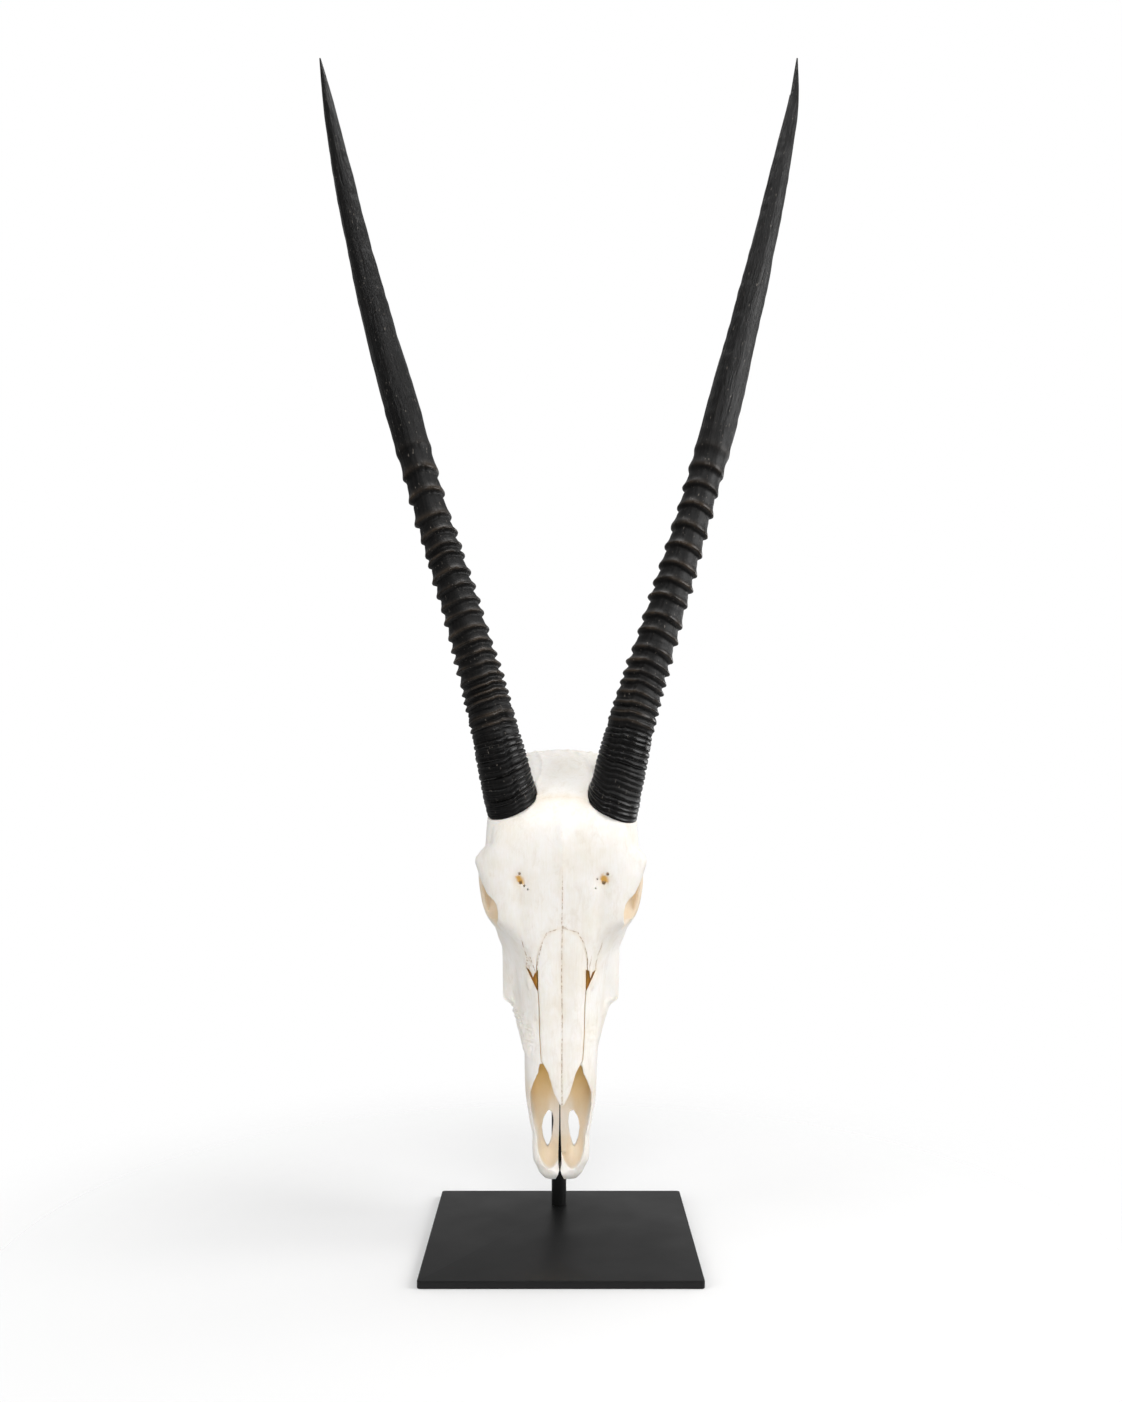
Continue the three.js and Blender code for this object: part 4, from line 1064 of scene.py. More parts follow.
    def _open_nose(self, head: bpy.types.Object) -> None:
        """Opens the nostrils and hollows the bowls below them."""
        blocks = [ellipsoid("gap_floor", (side.value * 25, -48, 197), (8, 10.5, 18)) for side in Side]
        combine(head, blocks, "UNION")
        nasals = [prism("nasal_plate", self._nasal_outline(side), -101, -51) for side in Side]
        opening = [(0, 8.5), *NOSTRIL_EDGE[::-1], (0, 118)]
        nostrils = [prism("nostril", mirrored(opening, side), -100, -21) for side in Side]
        for nostril in nostrils:
            combine(nostril, [twin(nasal, "nasal_copy") for nasal in nasals], "DIFFERENCE")
        for nasal in nasals:
            bpy.data.objects.remove(nasal)
        cuts = list(nostrils)
        for side in Side:
            cuts.append(ellipsoid("bowl", (side.value * 11, -24, 44), (11.8, 25, 32)))
            cuts.append(prism("palate_hole", mirrored(PALATE_HOLE, side), -14, 30))
        for side in Side:
            cuts.append(prism("orbit_rim", mirrored(ORBIT_RIM, side), -100, -28))
        combine(head, cuts, "DIFFERENCE")

    def _premaxilla_region(self, side: Side) -> bpy.types.Object:
        """Everything on the nose side of the sloping premaxilla seam, on one side."""
        x0 = PREMAXILLA_SEAM_X
        far = x0 + 60 * side.value
        obj = primitive(bpy.ops.mesh.primitive_cube_add, "premaxilla_region", size=1)
        unit = points_of(obj) + 0.5
        x = x0 + unit[:, 0] * (far - x0)
        y = -75 + unit[:, 1] * 135
        top = SUTURE_HEIGHT - SUTURE_SLOPE * y
        height = -10 + unit[:, 2] * (top + 10)
        move_points(obj, np.column_stack([x, y, height + NOSE_HEIGHT]) * MM)
        tidy_mesh(obj)
        return obj

    def _pierce(self, head: bpy.types.Object, teeth: Sequence["Tooth"]) -> None:
        """Cuts the brow holes, the seam of the lip, the gaps beside the nasal bones and the sockets."""
        cuts = [prism("lacrimal_gap", gap, -100, -81, 1.1) for gap in LACRIMAL_GAPS.values()]
        for side, marks in BROW_HOLES.items():
            for hole_x, hole_height, radius in marks:
                start = (side.value * (hole_x + 0.5), -88, hole_height + 3 + radius)
                end = (side.value * (hole_x - 1.5), -60 - radius, hole_height - 7)
                cuts.append(rod("brow_hole", start, end, (radius * 1.25, radius * 0.8)))
        half = [(0.35, 76), (0.7, 44), (1.8, 17), (0.6, 10.5), (2.0, 6), (5, -1)]
        right = [(PREMAXILLA_SEAM_X + x, height) for x, height in half]
        left = [(PREMAXILLA_SEAM_X - x, height) for x, height in reversed(half)]
        cuts.append(prism("lip_seam", right + left, -60, 60))
        cuts.extend(tooth.socket() for tooth in teeth)
        combine(head, cuts, "DIFFERENCE")

    def _sculpt(self, head: bpy.types.Object) -> None:
        """Moves the skin in and out for lumps, grooves, crests and sutures."""
        points, normals = head_points(head), read(head.data.vertices, "normal")
        x, y, height = points.T
        facing = np.clip(-normals[:, 1] * 1.6, 0, 1)
        away = np.abs(x)
        push = 0.4 * grain(points, 22, 1) + 0.16 * grain(points, 9, 2) + 0.06 * grain(points, 3.2, 3)
        # valley that runs from the brow hole towards the nose, and the dip that it starts in
        hole_x, hole_height = self.brow_hole
        below = smoothstep(212, 258, height) * (1 - smoothstep(hole_height - 6, hole_height + 6, height))
        push -= 2.8 * bell(away - hole_x + 0.10 * (hole_height - height), 6.5) * below * facing
        push -= 1.8 * bell(np.hypot(away - hole_x, (height - hole_height) * 0.7), 5.5) * facing
        # low ridge along the forehead's midline
        brow = smoothstep(262, 300, height) * (1 - smoothstep(345, 362, height))
        push += 1.1 * bell(x - MIDLINE_X, 3.4) * brow * facing
        # each nasal bone is a low vault of its own, beside a shallow trough
        half_width = monotone([h for _, h in NASAL_EDGE], [w for w, _ in NASAL_EDGE], height)[:, 0]
        inside = np.clip(np.abs(x - MIDLINE_X) / np.maximum(half_width, 2), 0, 1)
        on_nose = smoothstep(80, 110, height) * (1 - smoothstep(205, 244, height))
        push += 1.5 * np.sin(math.pi * inside) * on_nose * facing
        trough = smoothstep(120, 150, height) * (1 - smoothstep(215, 240, height))
        push -= 0.9 * bell(away - half_width - 7, 5) * trough * facing
        # soft edges along the open sutures, and fine grooves along the closed ones
        for side in Side:
            edge = self._nasal_outline(side)[:-1]
            on_side = smoothstep(116, 122, height) * (1 - smoothstep(206, 222, height))
            push -= (0.12 + 0.5 * on_side) * bell(line_distance(x, height, edge)[0], 0.9) * facing
        on_seam = (1 - smoothstep(356, 362, height)) * smoothstep(76, 82, height)
        push -= 0.3 * bell(x - MIDLINE_X, 0.8) * on_seam * facing
        for line in TEMPORAL_LINES:
            push += 1.0 * bell(line_distance(x, height, line)[0], 1.6) * facing
        for line in FACE_SEAMS[1:]:
            push -= 0.12 * bell(line_distance(x, height, line)[0], 0.9) * facing
        # flaky bone on the crown, where the neck muscles held
        crown = smoothstep(366, 392, height) * (0.25 + 0.75 * smoothstep(398, 406, height))
        flakes = grain(points, 4.2, 21)
        push += crown * (1.2 * np.round(flakes * 2.2) / 2.2 + 0.35 * grain(points, 1.8, 22))
        # the facial crest runs down and back to a point
        crest_end = 168 + 1.25 * (4 - y)
        outwards = smoothstep(0.3, 0.7, np.abs(normals[:, 0])) * (y < 6) * (y > -40)
        front = np.clip((y + 32) * 0.22, 0, 5.5) * smoothstep(156, 170, height)
        push -= front * (1 - smoothstep(crest_end - 12, crest_end + 12, height)) * outwards
        # rough skull base, where muscles and ligaments held
        rough = smoothstep(8, 26, y) * smoothstep(240, 330, height) * (np.abs(x) > 14)
        push += rough * (1.0 * grain(points, 9, 31) + 0.5 * grain(points, 4, 32))
        # sockets swell the edge of the jaw a little
        socket = smoothstep(118, 126, height) * (1 - smoothstep(158, 165, height))
        swell = np.abs(np.sin((height - 122) / 4.6 * math.pi)) ** 0.7 - 0.5
        push += np.where(x < 0, 3.4, 0.6) * swell * socket * smoothstep(0.62, 0.88, np.abs(normals[:, 0]))
        move_points(head, points_of(head) + normals * push[:, None] * MM)

    def _stain(self, piece: bpy.types.Object) -> None:
        """Paints shade by how deep each point lies and down the holes and gaps, its stains with the eye
        sockets' shade, and its distance from the sutures.
        """
        points, normals = head_points(piece), read(piece.data.vertices, "normal")
        x, y, height = points.T
        facing = np.clip(-normals[:, 1] * 2, 0, 1)
        depth = np.zeros(len(points))
        for i, point in enumerate(points_of(piece)):
            found, normal, _, away = self.hull.find_nearest(Vector(point))
            if (Vector(point) - found).dot(normal) < 0:
                depth[i] = away / MM
        # painted shade: ochre that grows with depth under the hull, fainter low in the nose bowls, above
        # the nose and towards the back
        shade = 0.3 + 0.7 * smoothstep(45, 115, height)
        hollow = smoothstep(1.8, 8, depth) * shade * (1 - 0.75 * smoothstep(236, 256, height))
        hollow *= 1 - 0.5 * smoothstep(0, 10, y) * (height > 180)
        hollow *= (np.abs(x) < 37.5) | (height < 150) | (height > 236)
        in_orbits, pit = np.zeros(len(points)), np.zeros(len(points))
        for side in Side:
            middle = np.array([side.value * ORBIT_MIDDLE[0], *ORBIT_MIDDLE[1:]])
            in_orbit = (points - middle) / np.array(ORBIT_RADII)
            # tan lining of the eye socket, painted shade
            lining = 1 - smoothstep(1.06, 1.3, np.linalg.norm(in_orbit, axis=1))
            in_orbits = np.maximum(in_orbits, lining * smoothstep(-50, -42, y))
            # painted shade down the lacrimal gaps and brow holes, by depth
            gap = LACRIMAL_GAPS[side]
            away = line_distance(x, height, gap + gap[:1])[0]
            pit = np.maximum(pit, smoothstep(0.8, 2.6, depth) * (away < 4) * (height > 178) * (y < -38))
            for hole_x, hole_height, radius in BROW_HOLES[side]:
                near = np.hypot(x - side.value * hole_x, height - hole_height) < radius * 1.9
                pit = np.maximum(pit, near * smoothstep(1.4, 2.8, depth) * (y < -52))
        paint(piece, "hollow", hollow * (1 - 0.75 * in_orbits))
        paint(piece, "pit", pit)

        best = np.full(len(points), 99.0)
        signed = np.full(len(points), 99.0)
        for line in FACE_SEAMS:
            away, side_of = line_distance(x, height, line)
            nearer = away < best
            best, signed = np.where(nearer, away, best), np.where(nearer, side_of, signed)
        paint(piece, "seam", signed)
        fade = 0.12 + 0.88 * (1 - smoothstep(278, 297, height))
        palate = 0.6 * np.clip(normals[:, 1] * 2, 0, 1) * (height < 262) * (np.abs(x - MIDLINE_X) < 2.6)
        strength = np.maximum(facing * fade, palate)
        paint(piece, "seam_strength", (1 - smoothstep(1.4, 2.6, best)) * strength)

        stain = np.zeros(len(points))
        for side in Side:
            s = side.value
            gap = LACRIMAL_GAPS[side]
            away = line_distance(x, height, gap + gap[:1])[0]
            stain = np.maximum(stain, 0.35 * bell(away, 1.6) * (height > 188))
            hole = np.hypot(x - s * self.brow_hole[0], (height - self.brow_hole[1]) * 0.8)
            stain = np.maximum(stain, 0.34 * bell(hole, 6.5) * facing)
            stain = np.maximum(stain, 0.3 * bell(np.hypot(x - s * 22, (height - 360) * 0.8), 8) * facing)
            stain = np.maximum(stain, 0.35 * bell(np.hypot(x - s * 31, (height - 86) * 0.5), 6))
            slit = line_distance(x, height, self._nasal_outline(side)[:-1])[0]
            stain = np.maximum(stain, 0.22 * bell(slit, 1.3) * facing)
        stain = np.maximum(stain, 0.25 * bell(line_distance(x, height, FACE_SEAMS[1])[0], 3.5) * facing)
        on_seam = smoothstep(60, 90, height) * (1 - smoothstep(290, 310, height))
        stain = np.maximum(stain, 0.16 * bell(x - MIDLINE_X, 2.0) * facing * on_seam)
        # the eye sockets' tan rides on the stain as painted shade
        paint(piece, "stain", np.maximum(stain, 0.6 * in_orbits))


# ---------------------------------------------------------------- teeth

TOOTH_ROW_START, TOOTH_GAP, TOOTH_ROOT, ALVEOLAR_Y = 132.5, 0.9, 5.0, 27.0
# From the front premolar back: name, length along the row, width, crown height.
TOOTH_SIZES = [
    ("premolar_2", 10, 8.5, 7),
    ("premolar_3", 12.5, 11.5, 10),
    ("premolar_4", 12.5, 13.5, 12),
    ("molar_1", 18, 15.5, 13),
    ("molar_2", 22, 16.5, 14.5),
    ("molar_3", 23, 15.5, 14),
]


@dataclass
class Tooth:
    """Cheek tooth of a grazer: ribbed outside, lobed inside, with crescents on the ground-down top."""

    name: str
    side: Side
    x: float
    height: float
    length: float
    width: float
    crown: float

    @property
    def lobes(self) -> int:
        """Molars have two lobes, premolars one."""
        return 2 if self.length > 15 else 1

    def _skin(
        self, name: str, rows: Sequence[tuple[float, float, float]], grow: float, detail: float
    ) -> bpy.types.Object:
        """Skin of the tooth or of its socket.

        Args:
            name: Name of the new object.
            rows: Distance out of the jaw, share of the full outline, and reach from the middle.
            grow: How much wider than the tooth it is, in millimetres.
            detail: 1 with ribs and crescents, 0 without.

        Returns:
            The new object.
        """
        table = np.array([(rows[0][0], rows[0][1], 0), *rows, (rows[-1][0], rows[-1][1], 0)])
        s = self.side.value

        def place(turns: Array, row: Array) -> Array:
            out, share, reach = table[row].T
            cos, sin = np.cos(turns * TURN), np.sin(turns * TURN)
            corner = (np.abs(cos) ** 4 + np.abs(sin) ** 4) ** -0.25
            across, along = corner * cos, corner * sin
            outer = np.clip(across * s, 0, 1) * (np.abs(across) > 0.55)
            inner = np.clip(-across * s, 0, 1) * (np.abs(across) > 0.55)
            ribs = sum(bell(along - at, 0.12) for at in np.linspace(-0.9, 0.9, self.lobes + 1))
            waist = bell(along, 0.2) if self.lobes == 2 else 0 * along
            side_push = detail * (0.9 * outer * ribs - 0.5 * outer - 1.5 * inner * waist)
            half_width = self.width / 2 * share + grow + side_push
            half_length = self.length / 2 * share + grow
            flat_x, flat_z = reach * across * half_width, reach * along * half_length
            dip = np.zeros(len(out))
            if detail:
                for lobe in np.linspace(-0.5, 0.5, self.lobes) if self.lobes == 2 else (0.0,):
                    beyond = (flat_z / self.length * 2 - lobe) * self.lobes * 0.9
                    around = np.hypot(flat_x / self.width * 2.1, beyond)
                    dip = np.maximum(dip, 1.3 * bell(around - 0.42, 0.13))
                dip = (dip + 0.5 * (1 - reach)) * (row > len(table) - 16)
                dip = dip + 0.9 * np.abs(along) * 0.3 * (row > len(table) - 16)
            place_x = self.side.value * self.x + flat_x
            return np.column_stack([place_x, ALVEOLAR_Y + out - dip, self.height + flat_z + NOSE_HEIGHT])

        return sleeve(name, 72, len(table), place)

    def socket(self) -> bpy.types.Object:
        """Room that the tooth needs in the jaw."""
        rows = [(-TOOTH_ROOT - FIT_GAP, 0.84, 1), (0, 0.98, 1), (TOOTH_ROOT, 1, 1)]
        return self._skin("socket", rows, FIT_GAP, 0)

    def build(self, finish: bpy.types.Material) -> None:
        """Builds and dresses the tooth."""
        side = [
            (out, 0.84 + 0.14 * (out + TOOTH_ROOT) / TOOTH_ROOT, 1)
            for out in np.linspace(-TOOTH_ROOT, 0, 5)
        ]
        top = self.crown
        side += [(out, 1.0, 1) for out in np.linspace(0, top * 0.62, 8)[1:]]
        side += [(top * 0.8, 0.96, 1), (top * 0.93, 0.91, 1), (top, 0.87, 0.985)]
        crown = [(top, 0.86, reach) for reach in np.linspace(0.95, 0.08, 14)]
        node = f"{self.name}_{self.side.word}"
        tooth = self._skin(node, side + crown, 0, 1)
        points = head_points(tooth)
        near_gum = 1 - smoothstep(ALVEOLAR_Y, ALVEOLAR_Y + 5, points[:, 1])
        on_top = smoothstep(ALVEOLAR_Y + top - 2.2, ALVEOLAR_Y + top - 0.4, points[:, 1])
        paint(tooth, "stain", 0.5 * near_gum + 0.45 * (1 - on_top) * (points[:, 1] > ALVEOLAR_Y + top - 3))
        finish_piece(tooth, node, finish)


def tooth_rows() -> list[Tooth]:
    """All twelve teeth, in two rows that spread slightly towards the back."""
    teeth = []
    for side in Side:
        height = TOOTH_ROW_START
        for name, length, width, crown in TOOTH_SIZES:
            middle = height + length / 2
            x = 25.5 + (middle - TOOTH_ROW_START) / (236 - TOOTH_ROW_START) * 9
            teeth.append(Tooth(name, side, x, middle, length, width, crown))
            height += length + TOOTH_GAP
    return teeth


# ---------------------------------------------------------------- horns

# Outer radius over the rings as a share of the base radius, against distance from the base.
HORN_TAPER = [
    (0, 1), (40, 0.975), (80, 0.935), (130, 0.87), (190, 0.815), (270, 0.765), (350, 0.72), (440, 0.66),
    (520, 0.585), (600, 0.5), (680, 0.405), (730, 0.33), (770, 0.24), (805, 0.125), (830, 0.03),
]
HORN_LENGTH = 830.0
HORN_BASE_RADIUS = 25.4
HORN_DEPTH_RATIO = 1.05
PEDICLE_RADIUS = 23.6
PEDICLE_ROOT = 52.0
TILT_BLEND = 90.0


@dataclass
class Horn:
    """Ringed horn: tight rings at its foot, bold ones above them, then a smooth fluted spear."""

    side: Side
    base: tuple[float, float, float]
    slope: tuple[float, float]
    path: list[tuple[float, float, float]]
    bold_rings: list[float]
    seed: int
    around: int = 112
    ring_step: float = 0.66
    smooth_step: float = 1.7
    crease_turn: float = 0.055

    def __post_init__(self) -> None:
        """Works out the centre line."""
        s = self.side.value
        self.line = spline([(x * s, y, z) for x, y, z in self.path], 2001)
        steps = np.linalg.norm(np.diff(self.line, axis=0), axis=1)
        self.length = float(steps.sum())
        self.distance = np.linspace(0, self.length, 2001)
        tangent = np.gradient(self.line, axis=0)
        self.tangent = tangent / np.linalg.norm(tangent, axis=1)[:, None]

    @property
    def foot(self) -> Array:
        """Direction in which the horn leaves the skull."""
        foot = np.array([-self.slope[0], -self.slope[1], 1])
        return foot / np.linalg.norm(foot)

    def _frame(self, at: Array) -> tuple[Array, Array, Array]:
        """Centre, sideways and backward directions of the horn at distances from its base."""
        centre = np.stack([np.interp(at, self.distance, self.line[:, k]) for k in range(3)], axis=1)
        along = np.stack([np.interp(at, self.distance, self.tangent[:, k]) for k in range(3)], axis=1)
        blend = smoothstep(0, TILT_BLEND, at)[:, None]
        normal = self.foot * (1 - blend) + along * blend
        normal /= np.linalg.norm(normal, axis=1)[:, None]
        across = np.array([1.0, 0, 0]) - normal * normal[:, :1]
        across /= np.linalg.norm(across, axis=1)[:, None]
        return centre, across, np.cross(normal, across)

    def _ring(self, at: Array, radius: Array, turns: Array) -> Array:
        """Points on the horn's slightly oval rings, in the world's millimetres."""
        centre, across, back = self._frame(at)
        angle = turns * TURN - math.pi / 2
        offset = across * (radius * np.cos(angle))[:, None]
        offset += back * (radius * HORN_DEPTH_RATIO * np.sin(angle))[:, None]
        return centre + offset + np.array(self.base) + np.array([0, 0, NOSE_HEIGHT])

    def pedicle(self) -> bpy.types.Object:
        """Bone stump that the horn stands on."""
        x0, y0, z0 = self.base

        def place(turns: Array, row: Array) -> Array:
            reach = ((row == 1) | (row == 2)) * np.where(row < 2, 1.12, 1.0) * PEDICLE_RADIUS
            angle = turns * TURN - math.pi / 2
            x, y = reach * np.cos(angle), reach * np.sin(angle)
            z = np.where(row < 2, -PEDICLE_ROOT, self.slope[0] * x + self.slope[1] * y + 1)
            return np.column_stack([x + x0, y + y0, z + z0 + NOSE_HEIGHT])

        return sleeve("pedicle", 64, 4, place)

    def room(self) -> bpy.types.Object:
        """Room that the horn's foot needs, one gap wider and one gap deeper."""
        at = np.array([0, 0, 50, 100, 100.0])

        def place(turns: Array, row: Array) -> Array:
            reach = ((row > 0) & (row < 4)) * (HORN_BASE_RADIUS + 2 * FIT_GAP)
            points = self._ring(at[row], reach, turns)
            points[row < 2] -= self.foot * FIT_GAP
            return points

        return sleeve("horn_room", 64, 5, place)

    def _rises(self) -> list[float]:
        """How far each bold ring stands out: more up the horn, then fading away."""
        grow = [min(1.0, i / 6) for i in range(len(self.bold_rings))]
        fade = 1 - smoothstep(310, 390, np.array(self.bold_rings))
        return [(1.7 + 1.5 * g) * (0.2 + 0.8 * f) for g, f in zip(grow, fade)]

    def _grooves(self) -> list[tuple[float, float]]:
        """Distance and depth of each fine groove at the foot."""
        grooves = []
        at, count = 3.2, 0
        while at < self.bold_rings[0] + 34:
            wobble = math.sin((self.seed + count) * 12.9898) * 43758.5453
            wobble -= math.floor(wobble)
            grooves.append((at, 0.7 + 0.9 * wobble))
            at += 3.5 + 0.014 * at + 1.5 * wobble
            count += 1
        return grooves

    def _relief(self, at: Array, turns: Array) -> tuple[Array, Array, Array]:
        """How far the skin stands in from the rings' envelope, and how near it is to a crest.

        Args:
            at: Distances from the base.
            turns: Turns round the horn from 0 at the front, towards +X.

        Returns:
            Offset of the radius, the share of crest and the share of polish, both from 0 to 1.
        """
        angle = turns * TURN
        circle = np.column_stack([np.cos(angle) * 12, np.sin(angle) * 12, at])
        from_crease = np.angle(np.exp(1j * (angle + self.crease_turn * TURN * self.side.value)))
        arch = -2.2 * np.abs(from_crease) ** 1.3 * smoothstep(60, 150, at) * np.cos(from_crease / 2) ** 2
        step = 0.9 * np.tanh(from_crease * 9) * bell(from_crease, 0.9) * (1 - smoothstep(110, 190, at))
        wave = 1.3 * grain(circle, 17, self.seed) + 0.4 * grain(circle, 7, self.seed + 1)
        local = at - arch - step - wave

        # bold rings: rounded cords, steep below and drawn out above
        rises = self._rises()
        gaps = np.diff(self.bold_rings, append=self.bold_rings[-1] + 20)
        vary = grain(circle, 14, self.seed + 2)
        best = np.zeros(len(at))
        under = np.zeros(len(at))
        for distance, rise, gap in zip(self.bold_rings, rises, gaps):
            tau = local - distance
            near = np.abs(tau) < 24
            t = tau[near]
            soft = 2.4 * float(smoothstep(322, 372, np.array(distance)))
            below = (1.5 if gap < 11 else 1.9) + soft
            cord = bell(t, below)
            above = 0.62 * bell(t, 0.17 * gap + 0.8 + soft) + 0.38 * bell(t, 0.42 * gap)
            weight = np.clip(0.92 + 0.3 * vary[near], 0.4, 1.15) * rise
            best[near] = np.maximum(best[near], weight * np.where(t > 0, above, cord))
            hollow = bell(t + 2.3 * below, 1.1 * below)
            under[near] = np.maximum(under[near], 0.2 * weight * hollow)
        envelope = np.interp(at, [40, *self.bold_rings], [0, *rises])
        envelope *= 1 - smoothstep(self.bold_rings[-1], self.bold_rings[-1] + 45, at)
        starting = smoothstep(self.bold_rings[0] - 12, self.bold_rings[0] + 4, at)
        crest = np.clip(best / np.maximum(envelope, 0.5), 0, 1) ** 3
        crest *= starting * (1 - 0.8 * smoothstep(325, 375, at)) * (at < self.bold_rings[-1] + 10)

        # fine grooves at the foot, broken and uneven
        broken = grain(circle * np.array([1, 1, 1.5]), 10, self.seed + 7)
        foot = np.zeros(len(at))
        for distance, depth in self._grooves():
            tau = local - distance
            near = np.abs(tau) < 4
            share = np.clip(0.95 + 0.5 * broken[near], 0.3, 1.25)
            foot[near] = np.minimum(foot[near], -depth * share * np.exp(-((tau[near] / 0.8) ** 2)))
        bands = 0.45 * grain(np.column_stack([local, angle * 0, angle * 0]), 4.5, self.seed + 8)
        foot = (foot + bands) * (1 - smoothstep(74, 124, at))
        ground = 0.5 * smoothstep(self.bold_rings[-1], self.bold_rings[-1] + 60, at)
        polish = np.maximum(np.maximum(crest, ground), (1 - starting) * np.clip(1 + foot / 0.7, 0, 1) ** 2)

        fibres = np.column_stack([np.cos(angle) * 25, np.sin(angle) * 25, at * 0.045])
        spear = smoothstep(350, 430, at)
        drawn = (0.14 + 0.18 * spear) * grain(fibres, 2.6, self.seed + 3)
        drawn += (0.08 + 0.22 * spear) * grain(fibres, 7, self.seed + 4)
        fine_rings = 0.12 * grain(circle * np.array([0.25, 0.25, 1]), 1.7, self.seed + 5)
        fine_rings *= 1 - smoothstep(70, 330, at)
        lumps = 0.6 * grain(circle, 26, self.seed + 6) + 0.35 * grain(circle, 9, self.seed + 9)
        lumps *= smoothstep(300, 400, at)
        crease = -0.35 * bell(from_crease, 0.05) * (1 - smoothstep(300, 460, at))
        taper = np.clip((self.length - at) / 160, 0.05, 1)
        offset = best * starting - envelope - under + foot + (drawn + fine_rings + lumps + crease) * taper
        return offset, crest, polish

    def build(self, finish: bpy.types.Material) -> None:
        """Builds and dresses the horn."""
        ring_end = 392.0
        ringed = np.arange(0, ring_end, self.ring_step)
        plain = np.arange(ring_end, self.length - 12, self.smooth_step)
        tip = np.array([12, 9.5, 7.2, 5.2, 3.6, 2.2, 1.1, 0.35])
        at = np.concatenate([[0], ringed, plain, self.length - tip, [self.length]])
        rows = len(at)
        taper_at = [distance for distance, _ in HORN_TAPER]
        shares = np.array([[share] for _, share in HORN_TAPER])
        envelope = HORN_BASE_RADIUS * monotone(taper_at, shares, at / self.length * HORN_LENGTH)[:, 0]

        def place(turns: Array, row: Array) -> Array:
            offset = self._relief(at[row], turns)[0]
            foot = 0.5 * (1 - smoothstep(0, 1.6, at[row]))
            chip = 0.8 * smoothstep(self.length - 46, self.length - 44, at[row])
            inward = bell(np.angle(np.exp(1j * (turns * TURN + math.pi / 2 * self.side.value))), 0.9)
            radius = envelope[row] + offset - foot
            if self.side is Side.RIGHT:
                radius -= chip * inward * np.clip(envelope[row] / 6, 0, 1)
            radius = np.where((row == 0) | (row == rows - 1), 0, np.maximum(radius, 0.25))
            return self._ring(at[row], radius, turns)

        horn = sleeve(f"horn_{self.side.word}", self.around, rows, place)
        self._paint_crests(horn)
        finish_piece(horn, f"horn_{self.side.word}", finish)

    def _paint_crests(self, horn: bpy.types.Object) -> None:
        """Paints the crests, found again from where each point lies on the horn."""
        points = head_points(horn) - np.array(self.base)
        rough = np.interp(points[:, 2], self.line[:, 2], self.distance)
        centre, across, back = self._frame(rough)
        along = np.cross(across, back)
        at = rough + np.sum((points - centre) * along, axis=1)
        centre, across, back = self._frame(at)
        offset = points - centre
        behind = np.sum(offset * back, axis=1) / HORN_DEPTH_RATIO
        angle = np.arctan2(behind, np.sum(offset * across, axis=1))
        _, crest, polish = self._relief(np.clip(at, 0, self.length), (angle + math.pi / 2) / TURN)
        paint(horn, "crest", crest)
        paint(horn, "polish", polish)
        paint(horn, "spear", smoothstep(340, 430, at))


def pair_of_horns() -> list[Horn]:
    """Left and right horn."""
    left = Horn(
        Side.LEFT,
        base=(-46, -42, 355),
        slope=(0.42, 0.38),
        path=[(0, 0, 0), (20.5, 7, 85), (49, 20, 185), (81, 35, 285), (110, 51, 385), (139, 67, 485),
              (165, 82, 585), (188.5, 97, 685), (210.5, 112, 791.5)],
        bold_rings=[78, 86, 100.5, 108, 116, 125, 137, 148.5, 160, 173, 189.5, 202.5, 217.5, 233, 251, 261,
                    276, 294, 319, 343, 370],
        seed=3,
    )
    right = Horn(
        Side.RIGHT,
        base=(48, -42, 352),
        slope=(-0.45, 0.32),
        path=[(0, 0, 0), (21, 7, 88), (52.5, 20, 188), (83, 35, 288), (112, 51, 388), (138.5, 67, 488),
              (163.5, 82, 588), (186.5, 97, 688), (197.5, 104.5, 741), (203.5, 112, 794.5)],
        bold_rings=[82, 90.5, 100, 110, 121, 131, 142.5, 155, 174, 189.5, 210.5, 227, 244, 264.5, 285,
                    307.5, 329, 350, 371],
        seed=11,
    )
    return [left, right]


# ---------------------------------------------------------------- stand


